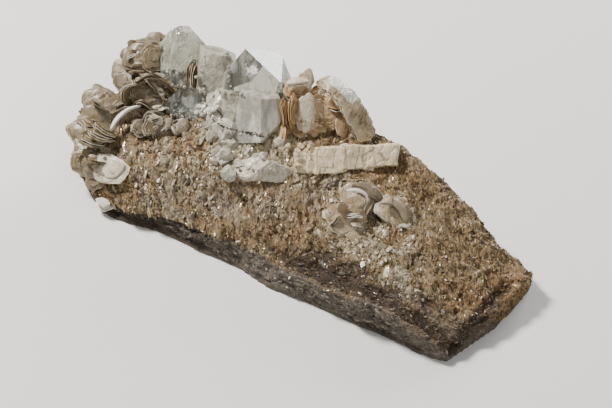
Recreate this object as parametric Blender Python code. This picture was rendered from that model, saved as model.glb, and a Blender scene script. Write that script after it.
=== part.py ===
"""A topaz specimen: clear topaz crystals, quartz, albite and muscovite books on a block of mica schist.

The block lies on a flat base. +X runs along it towards its thin end, +Y from its gentle front slope to
its steep back, and +Z up. Sizes below are in millimetres, and the model is in metres.
"""

import math
import random

import bmesh
import bpy
import numpy as np
from mathutils import Matrix, Vector, noise

MM = 0.001
GAP = 0.3  # clearance that every solid keeps from its neighbours
WELDS = (0.01, 0.003, 0.0005)  # points closer than the first of these that works are merged after a cut
ORIGIN = (56.0, 25.5, 0.0)  # the drawing's point about which the pieces are first made

# Crystal faces are named as seen from the specimen's best side, which looks down on the front slope from
# its thin end. Directions below are (right, up, towards) as seen from there.
BEST_TURN = math.radians(33.7)
BEST_HEIGHT = math.radians(40.0)

# The block's cross-sections, from the thick end to the thin one. Each gives X, then (Y, Z) of: foot and
# lip of the front strip, brow over its groove, shoulder of the front face, middle of the top, crest, back
# and heel.
SECTIONS = [
    (-2.0, (6, 0), (5, 3), (6, 5), (10, 11), (22, 15), (38, 17), (44, 9), (42, 0)),
    (3.0, (0, 0), (-1, 3), (0, 5), (6, 13), (21, 19), (42, 21), (49, 11), (47, 0)),
    (12.0, (-1.5, 0), (-2, 4), (-1, 6), (8, 16), (23, 21), (45, 23), (52, 12), (50, 0)),
    (26.0, (1, 0), (0, 6), (2, 8), (13, 19), (27, 22.5), (46, 24), (53, 12), (51, 0)),
    (40.0, (0.5, 0), (1, 7.5), (3, 9.5), (16, 19.5), (30, 23), (47, 25), (54, 13), (52, 0)),
    (52.0, (1, 0), (2.5, 7), (5, 9), (17, 17), (31, 22), (47.5, 26), (54, 14), (53, 0)),
    (64.0, (-1, 0), (1.5, 6.5), (5, 8.5), (16, 14.5), (31, 20.5), (47.5, 26), (54, 14), (52, 0)),
    (78.0, (0, 0), (0, 8), (4.5, 10), (15, 13.5), (30, 18.5), (47, 24), (53, 12), (51, 0)),
    (92.0, (0, 0), (-1, 10), (4, 11), (12, 12.5), (26, 15.5), (45.5, 19), (51, 10), (49, 0)),
    (103.0, (0.5, 0), (-1, 10.8), (3, 10.8), (11, 10.8), (24, 12.8), (42, 15.3), (48, 8), (46, 0)),
    (113.0, (0, 0), (0, 8.2), (2.8, 8.6), (10, 8.4), (22, 9.4), (39, 10.6), (44, 6), (43, 0)),
    (120.0, (0.5, 0), (1, 6.6), (3, 7), (10, 7), (21, 7.2), (37, 8.2), (41, 5), (40, 0)),
    (124.5, (1.5, 0), (2.5, 6), (4, 6.6), (10, 6.8), (20, 7), (36, 7.6), (39, 4.5), (38, 0)),
]
AROUND = (3, 2, 4, 5, 5, 4, 3, 4)  # steps from each of a section's points to the next
ALONG = 38  # cross-sections that the block is built from
END_RING = 0.45  # where the ring inside each end lies, from its edge to its middle
THIN_END_SLANT = 5.5  # how far the thin end falls back at its front corner
THIN_SLANT_FROM = 95.0  # the X where that starts
THIN_SLANT_Y = 22.0  # how deep behind the front corner it reaches
THICK_END_SLANT = 10.0  # how far the thick end reaches out behind its front corner
THICK_SLANT_LENGTH = 20.0  # how far along the block that fades out
THICK_SLANT_Y = 14.0  # how deep behind the front corner it is full
LUMP_SIZE, LUMP_HEIGHT = 8.0, 1.1
CHIP_SIZE, CHIP_HEIGHT = 3.2, 0.55
LEVEL_BAND = 2.5  # the lumps fade out over this height, so that the base stays flat
FACES_UP = 0.2  # the hollows sink where the surface's normal rises more than this

# Hollows in the top: X, Y, radius, depth.
HOLLOWS = [
    (83.0, 26.5, 3.4, 3.2),  # the cleft in the small mica rosette
    (67.0, 28.0, 2.6, 2.0),  # the nest of the dark crystal
    (12.0, 25.0, 7.0, 2.5),  # under the hood of mica
    (57.0, 40.0, 4.0, 2.0),  # beside the curved mica
    (118.0, 18.0, 2.4, 1.3),  # the trough behind the thin end's rim
    (117.5, 28.0, 2.4, 1.1),
]

BLANK = 80.0  # the cube that a crystal's faces are cut from

# The clear and pale crystals. Each has a middle and its flat faces: the way a face looks, and its distance.
CRYSTALS = {
    "topaz_large": (
        (29.9, 43.0, 30.8),
        [
            ((-0.25, -0.1, 0.96), 4.8),  # the great front face
            ((0.55, 0.65, 0.52), 6.4),  # the bright upper face
            ((0.87, 0.38, 0.32), 8.0),
            ((-0.53, 0.68, -0.5), 4.4),
            ((-0.75, 0.55, 0.35), 8.2),
            ((-0.97, 0.0, 0.2), 9.3),
            ((0.75, -0.45, 0.45), 9.4),
            ((0.5, 0.1, -0.86), 8.0),
            ((-0.4, -0.2, -0.9), 8.0),
            ((0.0, -1.0, 0.0), 10.0),
        ],
    ),
    "topaz_front": (
        (39.1, 33.4, 26.7),
        [
            ((0.38, 0.1, 0.92), 3.8),  # two striated prism faces
            ((-0.42, 0.12, 0.9), 4.0),
            ((0.98, 0.0, -0.2), 4.6),
            ((-0.95, 0.1, -0.3), 6.8),
            ((0.1, 0.9, 0.42), 5.8),
            ((0.75, -0.6, 0.25), 5.4),
            ((0.0, -0.3, -0.95), 5.0),
            ((0.0, -1.0, 0.0), 7.5),
        ],
    ),
    "topaz_peak": (
        (3.4, 43.0, 26.8),
        [
            ((0.15, 0.05, 0.99), 4.0),
            ((-0.62, 0.1, 0.78), 5.0),
            ((0.05, 0.62, 0.78), 7.8),
            ((-0.53, 0.85, 0.1), 8.8),
            ((0.59, 0.81, 0.1), 9.2),
            ((0.0, 1.0, -0.1), 9.9),
            ((0.75, 0.2, 0.6), 7.0),
            ((-0.98, 0.0, -0.1), 6.2),
            ((0.98, 0.1, -0.2), 7.0),
            ((-0.1, 0.3, -0.95), 6.0),
            ((0.0, -1.0, 0.0), 12.0),
        ],
    ),
    "quartz_pale": (
        (15.4, 42.5, 27.2),
        [
            ((-0.1, -0.05, 0.99), 4.2),
            ((0.6, 0.15, 0.78), 5.6),
            ((-0.2, 0.8, 0.56), 6.9),
            ((0.4, 0.88, 0.2), 7.0),
            ((0.1, 1.0, 0.0), 7.8),
            ((-0.98, 0.1, 0.15), 4.6),
            ((0.98, 0.15, 0.1), 6.6),
            ((0.1, 0.3, -0.95), 6.0),
            ((0.0, -1.0, 0.0), 10.0),
        ],
    ),
    "quartz_front": (
        (26.8, 31.7, 24.7),
        [
            ((0.0, 0.1, 1.0), 3.6),
            ((0.5, 0.3, 0.8), 4.6),
            ((-0.55, 0.2, 0.8), 4.5),
            ((0.1, 0.8, 0.6), 5.6),
            ((0.97, 0.0, 0.2), 5.4),
            ((-0.97, 0.1, 0.1), 5.4),
            ((-0.4, 0.9, 0.1), 6.4),
            ((0.4, 0.9, 0.0), 6.8),
            ((0.1, -0.8, 0.6), 5.6),
            ((0.0, -1.0, 0.0), 6.5),
            ((0.0, 0.0, -1.0), 4.5),
        ],
    ),
    "topaz_small": (
        (15.9, 30.0, 23.4),
        [
            ((0.05, 0.15, 0.98), 3.0),
            ((-0.6, 0.3, 0.75), 4.6),
            ((0.62, 0.36, 0.7), 4.8),
            ((0.1, 0.72, 0.68), 4.3),
            ((-0.9, -0.1, 0.3), 6.2),
            ((0.95, 0.0, 0.2), 6.2),
            ((0.1, 0.95, -0.2), 4.6),
            ((-0.6, 0.8, 0.0), 5.3),
            ((-0.6, -0.8, 0.1), 5.6),
            ((0.0, -0.95, 0.2), 5.0),
            ((0.0, 0.0, -1.0), 5.0),
        ],
    ),
}

# Rounded grains of quartz: middle, half sizes along (right, up, towards), number of faces, seed.
LUMPS = {
    "quartz_knob": ((31.6, 25.8, 22.2), (6.3, 4.4, 3.2), 16, 3),
    "quartz_lens": ((48.0, 20.0, 19.2), (10.6, 3.0, 2.4), 20, 5),
    "quartz_pebble": ((36.1, 18.8, 20.2), (3.1, 2.6, 2.2), 14, 6),
    "quartz_bead": ((40.8, 14.6, 19.4), (2.5, 2.4, 2.2), 14, 8),
    "dark_crystal": ((66.9, 28.3, 16.9), (2.3, 2.2, 2.0), 12, 4),
}
GRAIN_REACH = (0.8, 0.95)  # a grain's faces lie this far out towards its ellipsoid
GRAIN_SHAKE = 0.3  # how far a face turns from its even place

# The albite bar is a row of cleaved blocks: middle, and half sizes along (along the bar, up, towards).
BAR_BLOCKS = [
    ((57.8, 29.6, 20.6), (3.6, 3.0, 2.6)),
    ((63.0, 33.4, 21.4), (4.4, 3.9, 2.9)),
    ((69.0, 37.3, 22.3), (4.0, 3.6, 2.9)),
    ((74.6, 41.2, 23.0), (4.0, 3.2, 3.0)),
]
BAR_TILT = 0.06  # each block leans this much, the other way from the last
BAR_LEAN = 0.1  # how much its cleavage faces lean towards the best side
BAR_OVERLAP = 0.8  # how far it reaches into the block before it
BAR_ROOT = 3.5  # from its middle to its underside

# The intergrown middles of the muscovite clusters: middle as (right, up, towards) from VIEW_CENTRE, and
# half sizes.
VIEW_CENTRE = (60.9, 22.9, 12.0)
CORES = {
    "mica_hood": [
        ((-46.0, 31.5, -23.5), (10.0, 7.0, 5.0)),
    ],
    "mica_rose": [
        ((-58.5, 23.5, -22.5), (9.5, 10.5, 5.0)),
    ],
    "mica_back": [
        ((-48.0, 43.0, -33.0), (7.5, 7.5, 6.5)),
    ],
    "mica_low": [
        ((-58.5, 11.0, -14.5), (7.5, 6.0, 3.5)),
    ],
    "mica_scales": [
        ((-42.0, 21.5, -14.5), (9.5, 4.0, 2.6)),
    ],
    "mica_right": [
        ((-1.0, 23.5, -8.0), (8.5, 7.5, 3.5)),
        ((6.6, 26.0, -9.0), (6.4, 6.4, 4.2)),
    ],
    "mica_rosette_left": [
        ((12.0, -4.0, 11.5), (5.5, 5.0, 2.5)),
    ],
    "mica_rosette_right": [
        ((24.5, -2.5, 11.0), (5.0, 5.5, 2.5)),
    ],
}

# Clusters of muscovite books. Each book gives: its root and its tip as (right, up, towards) from
# VIEW_CENTRE, the way its flat face looks, its width and thickness, how far its tip curls and how far its
# long edges bend.
BOOKS = {
    "mica_hood": [
        ((-45.5, 34.0, -26.5), (-45.0, 37.5, -16.5), (0, 1, 0.15), 18.0, 1.8, 0.0, -7.0),
        ((-49.5, 31.0, -24.5), (-53.0, 33.5, -15.5), (-0.8, 0.6, 0), 10.0, 1.2, 0.0, -2.5),
        ((-46.0, 28.5, -21.0), (-48.0, 30.0, -14.0), (0.2, 0.95, 0), 7.5, 1.0, 0.0, -2.0),
        ((-41.5, 31.0, -23.5), (-47.0, 37.0, -17.5), (0.7, 0.7, 0), 7.5, 1.2, 0.0, 0.0),
        ((-45.5, 35.0, -29.0), (-35.0, 33.5, -23.0), (0.4, 0.9, 0.1), 8.0, 1.2, -0.8, 0.0),
        ((-44.5, 32.5, -24.0), (-36.5, 31.0, -20.0), (0.3, 0.9, 0.2), 7.0, 1.0, -0.6, 0.0),
        ((-41.5, 28.5, -21.0), (-43.5, 32.0, -23.5), (0.0, 0.5, 0.85), 7.0, 1.8, 0.0, -0.8),
    ],
    "mica_rose": [
        ((-56.5, 27.5, -25.0), (-66.5, 34.0, -29.0), (-0.2, 0.3, 0.93), 10.5, 1.8, 0.0, -1.6),
        ((-56.5, 26.5, -23.0), (-63.0, 30.5, -17.0), (0.2, 0.9, 0.3), 8.0, 1.0, 0.5, 0.0),
        ((-45.5, 26.5, -19.0), (-58.5, 22.5, -19.0), (0.1, -0.3, 0.95), 9.0, 1.7, 0.0, 1.4),
        ((-56.0, 23.5, -19.5), (-66.0, 28.0, -23.0), (0.1, 0.7, 0.6), 8.5, 1.4, -0.8, -1.0),
        ((-56.5, 22.0, -20.5), (-66.0, 24.5, -17.5), (0.0, 0.9, 0.4), 8.5, 1.2, -0.8, -0.8),
        ((-59.0, 20.5, -19.5), (-70.5, 23.0, -23.5), (-0.25, 0.3, 0.9), 10.0, 1.8, -1.0, -1.4),
        ((-55.0, 20.5, -17.0), (-61.0, 22.0, -11.0), (0.4, 0.85, 0.3), 9.0, 1.2, 0.5, 0.0),
        ((-55.5, 19.0, -15.5), (-63.0, 20.0, -9.5), (0.4, 0.85, 0.3), 9.0, 1.3, 0.5, 0.0),
        ((-57.5, 18.5, -17.5), (-64.5, 17.5, -11.5), (0.3, 0.85, 0.35), 9.0, 1.2, 0.4, 0.0),
    ],
    "mica_back": [
        ((-47.0, 42.0, -29.0), (-55.0, 45.5, -32.0), (-0.2, 0.4, 0.88), 9.0, 2.4, 0.0, -1.2),
        ((-43.5, 39.5, -27.0), (-46.5, 47.5, -28.5), (0.1, 0.2, 0.96), 9.5, 1.6, 0.0, 0.0),
        ((-43.5, 44.0, -32.0), (-46.5, 51.5, -34.0), (-0.1, 0.2, 0.97), 8.5, 1.8, 0.0, -0.8),
        ((-50.5, 37.0, -31.0), (-58.5, 43.5, -36.5), (-0.4, 0.3, 0.85), 9.0, 1.8, 0.0, -0.8),
        ((-51.5, 34.0, -29.0), (-58.0, 38.5, -33.0), (-0.5, 0.1, 0.8), 7.5, 1.4, 0.0, -0.6),
    ],
    "mica_low": [
        ((-50.5, 9.0, -8.0), (-62.0, 11.5, -12.5), (-0.32, 0.25, 0.9), 9.5, 1.2, 0.0, 0.0),
        ((-60.0, 9.0, -14.5), (-68.5, 15.0, -19.0), (-0.4, 0.2, 0.88), 7.5, 1.4, 0.0, -0.6),
        ((-60.0, 12.5, -16.0), (-68.0, 18.5, -22.0), (-0.3, 0.5, 0.8), 7.0, 1.2, 0.0, -0.6),
        ((-58.0, 4.5, -12.5), (-64.0, 8.0, -15.0), (-0.3, 0.2, 0.9), 6.0, 1.2, 0.0, -0.6),
    ],
    "mica_scales": [
        ((-45.5, 20.0, -12.5), (-49.5, 24.5, -14.0), (0.1, 0.45, 0.88), 6.5, 1.2, 0.4, -0.4),
        ((-43.0, 19.5, -11.0), (-46.0, 24.0, -12.0), (0.3, 0.35, 0.88), 6.0, 1.1, 0.4, -0.4),
        ((-43.0, 22.5, -16.5), (-43.5, 27.5, -19.0), (0.1, 0.5, 0.85), 7.0, 1.8, 0.0, -0.8),
        ((-40.5, 20.0, -13.0), (-38.0, 25.0, -13.5), (0.6, -0.2, 0.76), 4.5, 0.9, 0.0, 0.0),
        ((-37.0, 19.5, -10.0), (-34.0, 24.5, -12.5), (0.1, 0.4, 0.9), 5.5, 1.2, 0.0, -0.5),
    ],
    "mica_right": [
        ((-2.5, 29.5, -6.0), (-2.0, 36.5, -11.0), (0.1, 0.6, 0.78), 8.5, 2.6, 0.0, 0.0),
        ((-5.5, 20.0, -5.5), (-6.0, 30.5, -4.5), (0.9, 0.0, 0.4), 6.5, 1.2, 0.0, 0.6),
        ((-3.5, 20.0, -4.5), (-4.0, 31.5, -3.5), (0.85, 0.0, 0.5), 7.0, 1.2, 0.4, 0.6),
        ((-6.5, 16.5, -2.5), (-8.5, 22.0, -7.0), (-0.8, 0.2, 0.6), 6.5, 1.2, 0.0, 0.0),
        ((-0.5, 19.5, -3.5), (0.5, 32.0, -4.0), (0.15, 0.05, 0.98), 6.5, 1.8, 0.0, -0.8),
        ((2.5, 21.0, -6.0), (4.0, 32.0, -5.5), (0.35, -0.1, 0.93), 6.0, 1.2, 0.0, 0.0),
        ((-1.0, 30.5, -8.0), (1.0, 38.5, -8.5), (0.3, 0.0, 0.95), 5.5, 1.4, 0.0, 0.0),
        ((5.0, 22.0, -6.0), (4.0, 32.5, -7.5), (0.6, 0.2, 0.8), 5.5, 1.2, 0.0, -0.5),
        ((7.5, 21.0, -5.5), (8.5, 31.0, -7.0), (-0.2, 0.4, 0.9), 5.5, 1.2, 0.0, -0.5),
        ((9.5, 19.0, -4.5), (12.5, 25.5, -6.0), (0.4, 0.3, 0.85), 6.0, 1.2, 0.0, -0.5),
    ],
    "mica_rosette_left": [
        ((15.0, -4.0, 12.5), (3.5, -2.5, 9.5), (-0.15, 0.5, 0.85), 9.0, 2.0, 0.0, -1.6),
        ((15.5, -3.5, 12.0), (11.0, 3.0, 8.5), (-0.4, 0.25, 0.88), 9.0, 1.4, 0.0, -1.6),
        ((16.0, -5.5, 13.0), (5.5, -7.5, 12.5), (-0.1, 0.2, 0.97), 9.5, 1.6, 0.0, -1.4),
        ((14.5, -1.0, 11.0), (12.0, 6.0, 6.5), (-0.15, 0.5, 0.85), 7.5, 1.0, 1.0, -1.2),
        ((15.0, -6.5, 13.0), (12.5, -12.5, 14.0), (0.0, 0.15, 0.98), 10.0, 1.6, 0.0, -0.8),
    ],
    "mica_rosette_right": [
        ((22.5, -2.0, 10.0), (14.5, 6.0, 7.5), (0.2, 0.5, 0.85), 8.5, 1.1, 0.6, -1.6),
        ((22.5, -2.5, 10.0), (30.0, 4.5, 4.5), (0.2, 0.5, 0.85), 9.0, 1.4, 0.0, -1.0),
        ((22.0, -5.0, 12.5), (23.0, 2.0, 10.5), (0.3, 0.2, 0.93), 8.0, 1.3, 0.6, -1.0),
        ((22.5, -6.0, 14.0), (30.0, -2.0, 10.0), (0.3, 0.3, 0.9), 8.5, 1.3, 0.0, -0.8),
        ((23.0, -5.0, 11.5), (26.5, -12.5, 11.5), (0.2, 0.1, 0.97), 9.5, 1.6, 0.0, -0.8),
    ],
    "mica_standing": [
        ((-33.5, 31.0, -24.5), (-32.5, 42.0, -25.5), (0.95, 0.0, 0.3), 7.0, 2.2, 0.0, 0.0),
    ],
    "mica_corner_flake": [
        ((-55.5, -1.0, -11.8), (-60.5, 1.5, -13.4), (-0.1, 0.5, 0.85), 3.6, 2.0, 0.0, 0.0),
    ],
}
CORE_FACES, CORE_SEED = 13, 7
BOOK_SIDES = 8
BOOK_UNEVEN = (0.88, 1.1)  # a book's corners lie this far out towards its ellipse
BOOK_INNER = 0.55  # where a bent book has a second ring of corners
BOOK_MIDDLE, BOOK_EDGE = 0.58, 0.42  # half its thickness there, as a share of the whole

# The large curved book, as points along its middle line with the half width there.
CURVED_BOOK = [
    ((49.5, 45.0, 36.0), 2.0),
    ((54.0, 45.5, 37.6), 2.6),
    ((58.5, 45.0, 36.0), 3.0),
    ((62.6, 44.5, 32.4), 3.4),
    ((66.0, 44.0, 28.4), 3.6),
    ((68.8, 43.5, 24.6), 3.6),
]
CURVED_THICKNESS = 1.3
CURVED_DROP = 0.8  # how far its long edges lie behind its middle line
CURVED_LOOKS = (0.3, 0.35, 0.9)  # the way its face looks, as (right, up, towards)

# Colour (linear), roughness and name of each mineral's finish.
FINISHES = {
    "schist": ((0.27, 0.2, 0.13), 0.85),
    "topaz": ((0.66, 0.72, 0.71), 0.08),
    "quartz": ((0.62, 0.6, 0.53), 0.3),
    "albite": ((0.7, 0.64, 0.5), 0.5),
    "muscovite": ((0.5, 0.44, 0.34), 0.35),
    "dark_mineral": ((0.06, 0.045, 0.04), 0.3),
}


def view_axes():
    """The specimen's best side as a rotation from (right, up, towards) to X, Y and Z."""
    right = Vector((math.cos(BEST_TURN), math.sin(BEST_TURN), 0))
    towards = Vector(
        (
            math.sin(BEST_TURN) * math.cos(BEST_HEIGHT),
            -math.cos(BEST_TURN) * math.cos(BEST_HEIGHT),
            math.sin(BEST_HEIGHT),
        )
    )
    return Matrix((right, towards.cross(right), towards)).transposed()


VIEW = view_axes()


def finish(name):
    """The named mineral's material, made once."""
    material = bpy.data.materials.get(name)
    if material is None:
        colour, roughness = FINISHES[name]
        material = bpy.data.materials.new(name)
        material.use_nodes = True
        shader = material.node_tree.nodes["Principled BSDF"]
        shader.inputs["Base Color"].default_value = (*colour, 1)
        shader.inputs["Roughness"].default_value = roughness
        shader.inputs["Metallic"].default_value = 0.0
    return material


def new_object(name, bm, material):
    """Turns a bmesh in millimetres into an object in metres, with its faces outwards."""
    bmesh.ops.recalc_face_normals(bm, faces=bm.faces[:])
    mesh = bpy.data.meshes.new(name)
    bm.to_mesh(mesh)
    bm.free()
    mesh.transform(Matrix.Scale(MM, 4) @ Matrix.Translation(-Vector(ORIGIN)))
    mesh.materials.append(finish(material))
    obj = bpy.data.objects.new(name, mesh)
    bpy.context.scene.collection.objects.link(obj)
    return obj


def swell(bm, grow):
    """Moves a closed surface outwards by grow, for cutting clearance around it."""
    bmesh.ops.recalc_face_normals(bm, faces=bm.faces[:])
    bm.normal_update()
    moves = [(vert, vert.normal.copy()) for vert in bm.verts]
    for vert, normal in moves:
        vert.co += normal * grow


def boolean(obj, other, operation):
    """Joins other to obj, or cuts it away, and leaves obj with the finished mesh."""
    modifier = obj.modifiers.new(operation.lower(), "BOOLEAN")
    modifier.operation = operation
    modifier.object = other
    modifier.solver = "EXACT"
    bpy.context.view_layer.update()
    made = bpy.data.meshes.new_from_object(obj.evaluated_get(bpy.context.evaluated_depsgraph_get()))
    obj.modifiers.clear()
    used = obj.data
    obj.data = made
    bpy.data.meshes.remove(used)


def discard(obj):
    mesh = obj.data
    bpy.data.objects.remove(obj)
    bpy.data.meshes.remove(mesh)


def welded(mesh, distance):
    """The mesh with its tiny edges merged, its loose edges deleted and its small holes filled."""
    bm = bmesh.new()
    bm.from_mesh(mesh)
    bmesh.ops.remove_doubles(bm, verts=bm.verts[:], dist=distance)
    bmesh.ops.dissolve_degenerate(bm, edges=bm.edges[:], dist=distance)
    bmesh.ops.delete(bm, geom=[edge for edge in bm.edges if not edge.link_faces], context="EDGES")
    bmesh.ops.holes_fill(bm, edges=[edge for edge in bm.edges if edge.is_boundary], sides=0)
    bmesh.ops.triangulate(bm, faces=bm.faces[:])
    return bm


def keep_largest_body(obj):
    """Merges what a cut leaves, as coarsely as keeps it closed, and deletes all crumbs but the body."""
    for distance in WELDS:
        bm = welded(obj.data, distance * MM)
        if all(len(edge.link_faces) == 2 for edge in bm.edges):
            break
        bm.free()
    else:
        raise ValueError(f"{obj.name} isn't closed")
    waiting, bodies = set(bm.verts), []
    while waiting:
        body, front = set(), [waiting.pop()]
        while front:
            vert = front.pop()
            body.add(vert)
            for edge in vert.link_edges:
                beside = edge.other_vert(vert)
                if beside in waiting:
                    waiting.discard(beside)
                    front.append(beside)
        bodies.append(body)
    bodies.sort(key=len)
    crumbs = [vert for body in bodies[:-1] for vert in body]
    if crumbs:
        print(f"{obj.name}: {len(bodies) - 1} crumbs with {len(crumbs)} points deleted")
    bmesh.ops.delete(bm, geom=crumbs, context="VERTS")
    bmesh.ops.recalc_face_normals(bm, faces=bm.faces[:])
    bm.to_mesh(obj.data)
    bm.free()


def along_sections(x):
    """A cross-section's points at any X: a Catmull-Rom curve through the named sections."""
    rows = np.array([[c for point in s[1:] for c in point] for s in SECTIONS], float)
    stations = np.array([s[0] for s in SECTIONS])
    i = int(np.clip(np.searchsorted(stations, x) - 1, 0, len(stations) - 2))
    t = (x - stations[i]) / (stations[i + 1] - stations[i])
    before, here, there, after = (rows[k] for k in (max(i - 1, 0), i, i + 1, min(i + 2, len(rows) - 1)))
    bend = (2 * before - 5 * here + 4 * there - after) * t**2
    twist = (3 * here - before - 3 * there + after) * t**3
    return (here + 0.5 * ((there - before) * t + bend + twist)).reshape(-1, 2)


def section_loop(x):
    """The closed outline at X, with even steps between its named points and its upper corners eased."""
    points = along_sections(x)
    loop = []
    for k, steps in enumerate(AROUND):
        start, end = points[k], points[(k + 1) % len(points)]
        loop += [start + (end - start) * j / steps for j in range(steps)]
    loop = np.array(loop)
    eased = (np.roll(loop, 1, 0) + 2 * loop + np.roll(loop, -1, 0)) / 4
    above = loop[:, 1] > LEVEL_BAND
    loop[above] = eased[above]
    return loop


def slanted(x, y):
    """X of a point of the section at x, once both ends have their slant in plan."""
    first, last = SECTIONS[0][0], SECTIONS[-1][0]
    thin = max(0.0, (x - THIN_SLANT_FROM) / (last - THIN_SLANT_FROM)) ** 2 * max(0.0, 1 - y / THIN_SLANT_Y)
    thick = max(0.0, 1 - (x - first) / THICK_SLANT_LENGTH) ** 2 * min(1.0, max(0.0, y) / THICK_SLANT_Y)
    return x - THIN_END_SLANT * thin - THICK_END_SLANT * thick


def roughen(bm):
    """Lumps and chips pushed along the normals, fading out at the base, and the hollows of the top."""
    bmesh.ops.recalc_face_normals(bm, faces=bm.faces[:])
    bm.normal_update()
    moves = []
    for vert in bm.verts:
        fade = min(1.0, vert.co.z / LEVEL_BAND)
        push = LUMP_HEIGHT * noise.noise(vert.co / LUMP_SIZE)
        push += CHIP_HEIGHT * noise.noise(vert.co / CHIP_SIZE)
        move = vert.normal * push * fade
        if vert.normal.z > FACES_UP:
            for x, y, radius, depth in HOLLOWS:
                near = math.hypot(vert.co.x - x, vert.co.y - y) / radius
                move.z -= depth * math.exp(-near * near)
        moves.append((vert, move))
    for vert, move in moves:
        vert.co += move
        vert.co.z = max(vert.co.z, 0.0)


def close_end(bm, ring):
    """Closes an end with an inner ring and a hub, so that it isn't one fan of slivers."""
    middle = sum((vert.co for vert in ring), Vector()) / len(ring)
    inner = [bm.verts.new(vert.co.lerp(middle, END_RING)) for vert in ring]
    hub = bm.verts.new(middle)
    for j, vert in enumerate(ring):
        beside = (j + 1) % len(ring)
        bm.faces.new((vert, ring[beside], inner[beside], inner[j]))
        bm.faces.new((inner[j], inner[beside], hub))


def schist_block(name, grow=0.0):
    """The block: its outlines joined along X, with both ends closed."""
    bm = bmesh.new()
    first, last = SECTIONS[0][0], SECTIONS[-1][0]
    rings = []
    for k in range(ALONG):
        x = first + (last - first) * k / (ALONG - 1)
        rings.append([bm.verts.new((slanted(x, y), y, z)) for y, z in section_loop(x)])
    for ring, following in zip(rings, rings[1:]):
        for j, vert in enumerate(ring):
            beside = (j + 1) % len(ring)
            bm.faces.new((vert, ring[beside], following[beside], following[j]))
    for ring in (rings[0], rings[-1]):
        close_end(bm, ring)
    bmesh.ops.triangulate(bm, faces=bm.faces[:])
    roughen(bm)
    if grow:
        swell(bm, grow)
    return new_object(name, bm, "schist")


def flat_faced(name, middle, faces, material, grow=0.0):
    """A convex crystal: a block cut down to each of its faces in turn."""
    bm = bmesh.new()
    bmesh.ops.create_cube(bm, size=BLANK)
    for looks, distance in faces:
        normal = Vector(looks).normalized()
        geometry = bm.verts[:] + bm.edges[:] + bm.faces[:]
        cut = bmesh.ops.bisect_plane(
            bm, geom=geometry, plane_co=normal * (distance + grow), plane_no=normal, clear_outer=True
        )
        edges = [item for item in cut["geom_cut"] if isinstance(item, bmesh.types.BMEdge)]
        if edges:
            bmesh.ops.contextual_create(bm, geom=edges)
    bmesh.ops.transform(bm, matrix=Matrix.Translation(middle) @ VIEW.to_4x4(), verts=bm.verts[:])
    bmesh.ops.triangulate(bm, faces=bm.faces[:])
    return new_object(name, bm, material)


def lump_faces(half, count, seed):
    """Faces all over an ellipsoid, evenly spread by the golden angle and shaken a little."""
    shake = random.Random(seed)
    faces = []
    for k in range(count):
        up = 1 - 2 * (k + 0.5) / count
        turn = k * math.pi * (3 - math.sqrt(5)) + shake.uniform(-GRAIN_SHAKE, GRAIN_SHAKE)
        flat = math.sqrt(1 - up * up)
        looks = Vector((flat * math.cos(turn), up, flat * math.sin(turn)))
        reach = math.sqrt(sum((a * b) ** 2 for a, b in zip(looks, half)))
        faces.append((looks, reach * shake.uniform(*GRAIN_REACH)))
    return faces


def lump(name, grow=0.0):
    middle, half, count, seed = LUMPS[name]
    material = "dark_mineral" if name == "dark_crystal" else "quartz"
    return flat_faced(name, middle, lump_faces(half, count, seed), material, grow)


def crystal(name, grow=0.0):
    middle, faces = CRYSTALS[name]
    return flat_faced(name, middle, faces, name.split("_")[0], grow)


def albite_bar(name, grow=0.0):
    """The cleaved blocks of the bar, each turned a little more than the last, joined."""
    bar = None
    for k, (middle, (long, tall, deep)) in enumerate(BAR_BLOCKS):
        tilt = BAR_TILT * (-1) ** k
        faces = [((1, tilt, BAR_LEAN), long), ((-1, -tilt, BAR_LEAN), long + BAR_OVERLAP)]
        faces += [((tilt, 1, BAR_LEAN), tall), ((-tilt, -1, BAR_LEAN), tall)]
        faces += [((tilt, BAR_LEAN, 1), deep), ((0, 0, -1), BAR_ROOT)]
        block = flat_faced(name if bar is None else "block", middle, faces, "albite", grow)
        if bar is None:
            bar = block
        else:
            boolean(bar, block, "UNION")
            discard(block)
    return bar


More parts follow.
